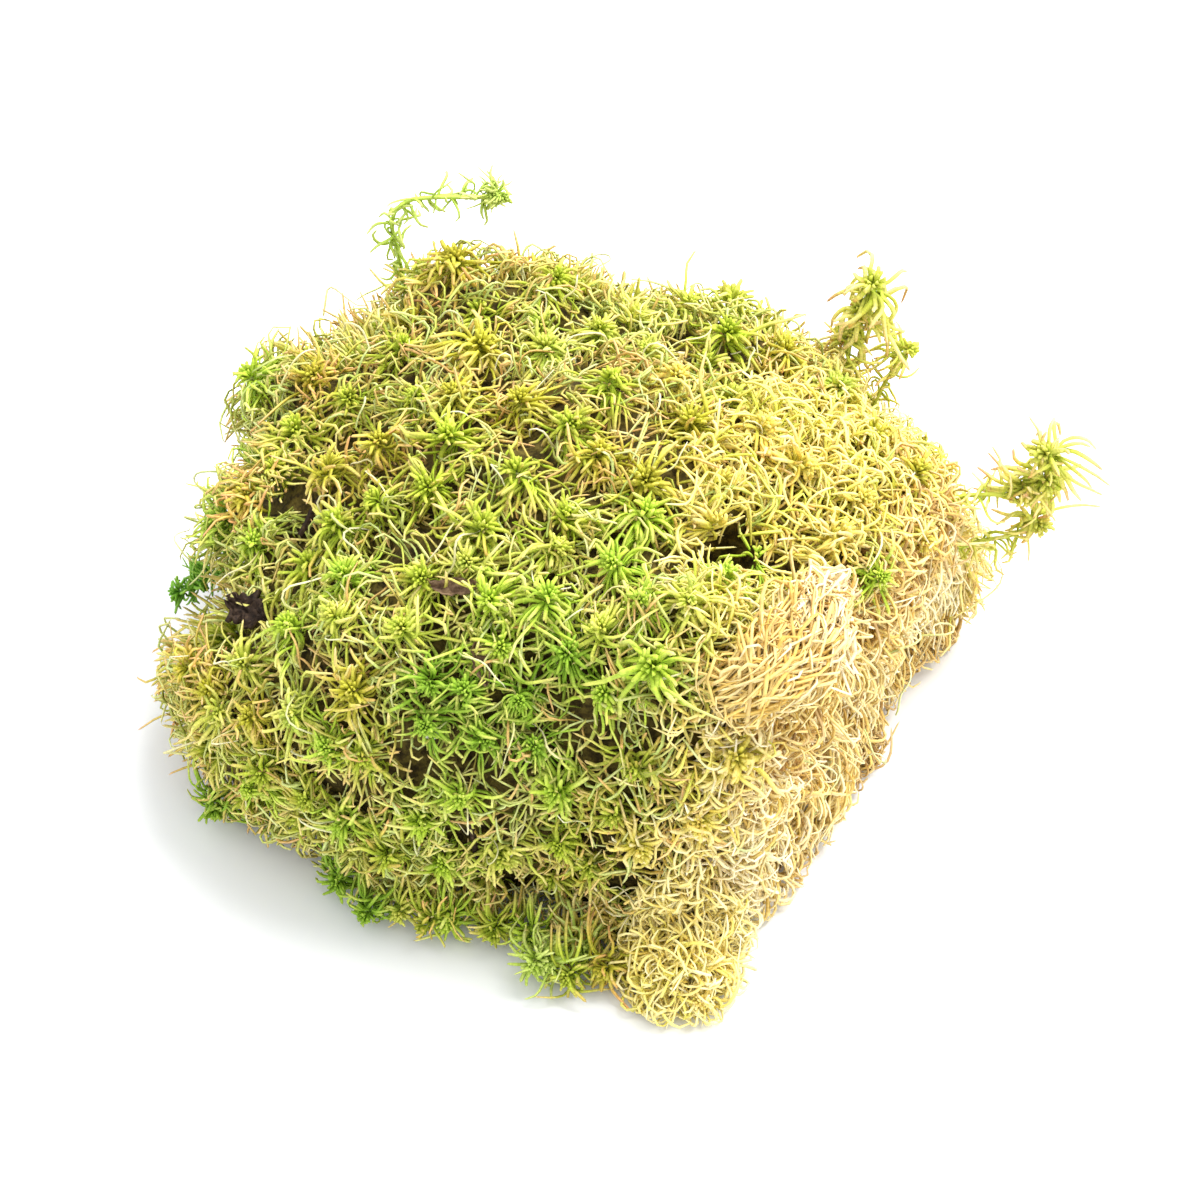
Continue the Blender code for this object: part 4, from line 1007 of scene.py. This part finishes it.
rates = RNG.uniform(0.6, 2.0, (2, count, 1))[:, kin]
sways = RNG.gamma(2.0, 0.75, (2, count, 1))[:, kin] * MM * np.sin(TURN * steps * rates + phases)
lines = place + over * (wide + sways[0])[..., None] + up * (thick + 0.8 * sways[1])[..., None]
field = 0.95 - 0.95 * share[:, 5] + RNG.normal(0, 0.24, count)
lock = [strands(lines, MM * RNG.uniform(*LOCK_RADIUS, count), STRAW_SHAPE, field)]
add_strands("lock_stems", lock, "cream_stems", LOCK_TONES, "pale_stems", "combed_lock", 0.65)


# The corner tuft: a small bunch of dead and half living shoots that lies on the table in front.
# It is two lumps of straw yellow curls, joined to the mass behind it, with three small heads.

TUFT_MIDDLE = np.array((14.5, -62.5, 2.0)) * MM
TUFT_LUMPS = (((14.0, -62.8, 1.0), (9.4, 10.4, 11.5)), ((16.2, -56.7, 8.0), (9.2, 8.0, 14.0)))
TUFT_HEADS_PX = ((664, 985, 5.5), (650, 962, 4.5), (700, 1000, 4.5))
TUFT_HEADS_FACE = unit(np.array((-0.3, -0.5, 0.7)))
TUFT_COUNT = 900
TUFT_LENGTH = (6, 16)
TUFT_RADIUS = (0.20, 0.36)
TUFT_TONES = (
    ((0.0, (206, 212, 76)), (0.5, (238, 234, 112)), (1.0, (250, 238, 150))),
    ((0.0, (250, 218, 104)), (0.5, (255, 236, 136)), (1.0, (255, 242, 172))),
    ((0.0, (252, 228, 138)), (0.5, (255, 242, 176)), (1.0, (255, 248, 212))),
)


def depth_in_tuft(points):
    """Over zero inside the tuft, and falling outwards."""
    depths = [(1 - np.linalg.norm((points / MM - centre) / radii, axis=-1)) * radii[0] * MM
              for centre, radii in TUFT_LUMPS]
    return np.max(depths, axis=0)


tuft = []
for x, y, reach in TUFT_HEADS_PX:
    point = on_level((x, y), LOW_HEAD_HEIGHT)
    tuft += star(point, TUFT_HEADS_FACE, reach * MM, 0.8, depth_in_tuft)
tuft_skin = skin_along(even_directions(TUFT_COUNT, -0.1), TUFT_MIDDLE, depth_in_tuft)
tuft_skin = tuft_skin[tuft_skin[:, 2] > 0.3 * MM]
count = len(tuft_skin)
normals = outward(tuft_skin, depth_in_tuft)
headings = fan(normals, RNG.uniform(0.6, 1.5, count), RNG.uniform(0, TURN, count))
lines = grown(tuft_skin - normals * RNG.uniform(1, 5, (count, 1)) * MM, headings,
              RNG.uniform(*TUFT_LENGTH, count) * MM, -normals * 0.3, curliness(0.3, 1.2, count),
              STRAW_STEPS, np.full(count, 5 * MM), RNG.uniform(-0.5, 2.0, count) * MM,
              depth_in_tuft)
field = 0.62 + 0.02 * (tuft_skin[:, 0] / MM - 14) + RNG.normal(0, 0.22, count)
tuft.append(strands(lines, MM * RNG.uniform(*TUFT_RADIUS, count), STRAW_SHAPE, field))
add_strands("tuft_strands", tuft, "tuft_branches", TUFT_TONES, "dead_stems", "corner_tuft", 0.65,
            STRAW_DARKEST)


# Single shoots: thin living stems that are rooted in the mass and stand out of it. Each has
# whorls of fine side branches along its stem, and one to three heads near its end.

# Each shoot's route and the reach of its side branches in mm, its colour, and its heads: the
# share of the route where one sits, its reach in mm and the way that it faces.
SHOOTS = {
    "top_left_shoot": (
        ((-37, 54, 50), (-37.6, 58, 58), (-38.6, 58, 66), (-39.2, 58, 73), (-36.5, 58, 77.5),
         (-31, 58, 78.6), (-22.5, 58, 78.6), (-18.4, 58, 79.0)),
        7.5, "pale_green", ((1.0, 4.4, (0.8, -0.7, -0.1)), (0.97, 3.4, (0.2, -0.8, 0.3)))),
    "upper_right_shoot": (
        ((44, 34, 44), (46, 37, 52), (47, 39.5, 60), (48.6, 40, 66.5), (50.2, 40, 72)),
        8.0, "pale_yellow", ((1.0, 11.4, (0.1, -0.3, 0.9)), (0.8, 10.4, (-0.2, -0.4, 0.9)),
                             (0.6, 8.0, (0.2, -0.5, 0.6)))),
    "upper_right_small_shoot": (
        ((49, 34, 40), (52.5, 37.5, 46), (55, 39.5, 51), (57.8, 40, 56.5)),
        7.0, "pale_yellow", ((1.0, 7.4, (0.7, -0.4, 0.6)),)),
    "right_long_shoot": (
        ((60, 12, 38), (65.5, 14.5, 42), (71.5, 15, 42.6), (77.5, 15, 42.8), (82.4, 15, 46.5),
         (81.8, 15.4, 52.5)),
        9.0, "pale_yellow", ((0.81, 10.6, (0.35, -0.7, 0.5)), (1.0, 10.8, (-0.7, -0.4, 0.7)),
                             (0.66, 9.0, (0.3, -0.5, -0.4)))),
    "right_low_shoot": (
        ((65, 12, 30), (71, 13.5, 32), (77, 14.5, 32.6), (82, 15, 35.6)),
        9.0, "pale_yellow", ((1.0, 9.4, (0.3, -0.6, 0.2)),)),
    "left_dark_shoot": (
        ((-60, 10, 34.5), (-66, 8.6, 32.6), (-71, 7.6, 29.4), (-75.5, 7, 26.6), (-79, 7, 25.2)),
        4.4, "dark", ((1.0, 5.4, (-0.9, -0.4, 0.1)), (0.75, 4.6, (-0.2, -0.7, -0.5)))),
    "front_shoot": (
        ((3, -52, 7.4), (0.5, -57.5, 5.4), (-3, -61.5, 4.9), (-7, -64.4, 5.1),
         (-11.6, -66.2, 6.4)),
        8.0, "pale_green", ((1.0, 7.4, (-0.4, -1.0, 0.1)), (0.9, 6.4, (0.1, -1.0, 0.3)),
                            (0.55, 6.4, (0.5, -0.9, 0.1)))),
}
SHOOT_TONES = {
    "pale_green": (
        ((0.0, (150, 180, 44)), (0.4, (186, 212, 86)), (1.0, (222, 228, 132))),
        ((0.0, (168, 194, 66)), (0.4, (204, 222, 112)), (1.0, (236, 234, 158))),
    ),
    "pale_yellow": (
        ((0.0, (158, 178, 40)), (0.4, (214, 220, 86)), (0.62, (240, 228, 122)),
         (0.85, (232, 172, 116))),
        ((0.0, (182, 198, 58)), (0.4, (230, 230, 110)), (0.7, (248, 236, 150)),
         (0.9, (250, 222, 160))),
        ((0.0, (170, 176, 48)), (0.4, (226, 216, 98)), (0.6, (242, 216, 126)),
         (0.8, (226, 156, 108))),
    ),
    "dark": (
        ((0.0, (84, 142, 32)), (0.5, (112, 172, 50)), (1.0, (146, 190, 74))),
        ((0.0, (98, 154, 40)), (0.5, (134, 188, 60)), (1.0, (176, 204, 90))),
    ),
}
STEM_RADIUS = 0.5 * MM
STEM_STEPS = 20
STEM_SHAPE = (1.0,) * STEM_STEPS + (0.0,)
WHORL_SPACING = 2.2 * MM
WHORL_BRANCHES = 4
WHORL_START = 3 * MM
WHORL_END = 1 * MM
SIDE_STEPS = 8
SIDE_LENGTH = (0.45, 1.15)
SIDE_RADIUS = (0.26, 0.40)

for name, (route_mm, reach, tone, heads) in SHOOTS.items():
    route = smooth_route(np.array(route_mm) * MM, STEM_STEPS + 1)
    batches = [strands(route[None], np.array([STEM_RADIUS]), STEM_SHAPE, np.array([0.3]), 0.5)]
    length = np.linalg.norm(np.diff(route, axis=0), axis=1).sum()
    places = np.arange(WHORL_START, length - WHORL_END, WHORL_SPACING) / length
    places = np.repeat(places, WHORL_BRANCHES)
    places = places + RNG.normal(0, 0.012, len(places))
    roots = along_route(route, places)
    along = unit(along_route(np.gradient(route, axis=0), places))
    count = len(roots)
    headings = fan(along, RNG.uniform(0.8, 1.7, count), RNG.uniform(0, TURN, count))
    bends = along * RNG.normal(0, 0.9, count)[:, None] + np.array((0, 0, -0.7))
    lines = grown(roots, headings, reach * MM * RNG.uniform(*SIDE_LENGTH, count), bends,
                  curliness(0.35, 1.1, count), SIDE_STEPS, windings=(0.5, 1.4))
    batches.append(strands(lines, MM * RNG.uniform(*SIDE_RADIUS, count), BRANCH_SHAPE,
                           RNG.uniform(0, 1, count), 0.85))
    for share, head_reach, axis in heads:
        batches += star(along_route(route, share), unit(np.array(axis)), head_reach * MM, 0.9,
                        tiers=MOP_TIERS if tone == "pale_yellow" else STAR_TIERS)
    add_strands(name + "_strands", batches, name + "_colour", SHOOT_TONES[tone],
                "dark_moss" if tone == "dark" else "shoot_moss", name)


# Litter: twigs, crumpled scraps of bark and dead leaf and a pale husk, all caught in the moss.
# The twigs and the husk are the solids of the model; the scraps are thin creased sheets.

# Each scrap's pixel, its length, width and thickness in mm, its turn in degrees, its curl, how
# ragged its edge is, its creases, its finish and its slot.
SCRAPS = {
    "bark_flake": ((247, 608), (10.6, 5.6, 0.9), 28, 0.16, 0.55, 11.0, "dark_bark", "bark"),
    "dried_leaf_upper": ((455, 586), (8.6, 3.2, 0.25), 20, 0.42, 0.16, 5.0, "dead_leaf",
                         "dried_leaf"),
    "dried_leaf_lower": ((481, 664), (7.6, 2.8, 0.25), 110, 0.46, 0.18, 5.0, "dead_leaf",
                         "dried_leaf"),
}
SCRAP_SINK = 1.7 * MM
SCRAP_GRID = (31, 15)
# The solids with each finish, the fineness of its mottle and its colours.
LITTER_FINISHES = {
    "dark_bark": (("dark_twig", "brown_twig"), 900.0,
                  ((0.3, (22, 15, 10)), (0.5, (50, 35, 24)), (0.7, (84, 66, 48)))),
    "weathered_bark": (("grey_twig",), 900.0,
                       ((0.3, (70, 60, 46)), (0.5, (112, 100, 80)), (0.7, (150, 138, 112)))),
    "dead_leaf": ((), 900.0,
                  ((0.3, (78, 58, 42)), (0.5, (122, 98, 74)), (0.7, (166, 140, 108)))),
    "husk": (("white_seed",), 500.0,
             ((0.3, (196, 196, 186)), (0.5, (226, 226, 218)), (0.7, (242, 242, 236)))),
}
litter_finish = {}
for name, (nodes_there, scale, stops) in LITTER_FINISHES.items():
    litter_finish[name] = mottled_finish(name, stops, scale, 0.75, 0.5)
    for node in nodes_there:
        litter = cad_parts[node]
        litter.data.materials.clear()
        litter.data.materials.append(litter_finish[name])

for name, (pixel, size, turn, curl, ragged, creases, finish, slot) in SCRAPS.items():
    middle = seen_on_mass(pixel)
    normal = outward(middle[None])[0]
    level, slope = across_from(normal)
    turned = math.radians(turn)
    long_way = level * math.cos(turned) + slope * math.sin(turned)
    short_way = np.cross(normal, long_way)
    length, width, thickness = (side * MM for side in size)
    run, over = np.meshgrid(*(np.linspace(-1, 1, side) for side in SCRAP_GRID), indexing="ij")
    tear = np.sin(7 * run + 2 * over) + np.sin(17 * run + 3 * np.sign(over))
    outline = (1 - 0.85 * np.abs(run) ** 2.4) * (1 + ragged * 0.5 * tear)
    folds = np.sin(creases * over + 3 * run) + 0.6 * np.sin(1.7 * creases * over - 5 * run)
    rise = curl * (over**2 + 0.7 * run**2) + 0.07 * folds + 0.05 * np.sin(11 * run)
    sheet = (middle + long_way * (run * length / 2)[..., None]
             + short_way * (over * outline * width / 2)[..., None]
             + normal * (rise * width - SCRAP_SINK)[..., None])
    rows, columns = run.shape
    first = np.arange(rows * columns).reshape(rows, columns)
    quads = np.stack([first[:-1, :-1], first[:-1, 1:], first[1:, 1:], first[1:, :-1]], -1)
    quads = quads.reshape(-1, 4)
    rim = np.concatenate([first[0, :-1], first[:-1, -1], first[-1, :0:-1], first[:0:-1, 0]])
    following = np.roll(rim, -1)
    below = rows * columns
    edge = np.stack([rim, rim + below, following + below, following], -1)
    sheet = sheet.reshape(-1, 3)
    corners = np.concatenate([sheet + normal * thickness / 2, sheet - normal * thickness / 2])
    faces = np.concatenate([quads, quads[:, ::-1] + below, edge])
    mesh = bpy.data.meshes.new(name + "_sheet")
    mesh.from_pydata(corners.tolist(), [], faces.tolist())
    add_piece(name + "_sheet", mesh, litter_finish[finish], slot, name)


# The table and the light: a pale table under a bright even sky, with a broad soft lamp over the
# right and the back.

TABLE_SIZE = 4.0
TABLE_COLOUR = (240, 241, 243)
SKY_COLOUR = (0.97, 0.98, 1.0, 1.0)
SKY_STRENGTH = 1.27
LAMP_WIDTH = 0.9
LAMP_WATTS = 20.0
LAMP_PLACE = (0.45, 0.35, 1.0)

table_shape = bmesh.new()
bmesh.ops.create_grid(table_shape, x_segments=1, y_segments=1, size=TABLE_SIZE / 2)
table_mesh = bpy.data.meshes.new("table")
table_shape.to_mesh(table_mesh)
table_shape.free()
table = bpy.data.objects.new("table", table_mesh)
table_finish, *_, table_shader = new_material("pale_table", 0.8)
table_shader.inputs["Base Color"].default_value = srgb(*TABLE_COLOUR)
table_mesh.materials.append(table_finish)
bpy.context.scene.collection.objects.link(table)

world = bpy.data.worlds.new("sky")
world.use_nodes = True
world.node_tree.nodes["Background"].inputs["Color"].default_value = SKY_COLOUR
world.node_tree.nodes["Background"].inputs["Strength"].default_value = SKY_STRENGTH
bpy.context.scene.world = world

lamp_data = bpy.data.lights.new("lamp", "AREA")
lamp_data.shape = "DISK"
lamp_data.size = LAMP_WIDTH
lamp_data.energy = LAMP_WATTS
lamp = bpy.data.objects.new("lamp", lamp_data)
lamp.location = LAMP_PLACE
lamp.rotation_mode = "QUATERNION"
lamp.rotation_quaternion = (-Vector(lamp.location)).to_track_quat("-Z", "Y")
bpy.context.scene.collection.objects.link(lamp)

bpy.context.scene.view_settings.view_transform = "Standard"
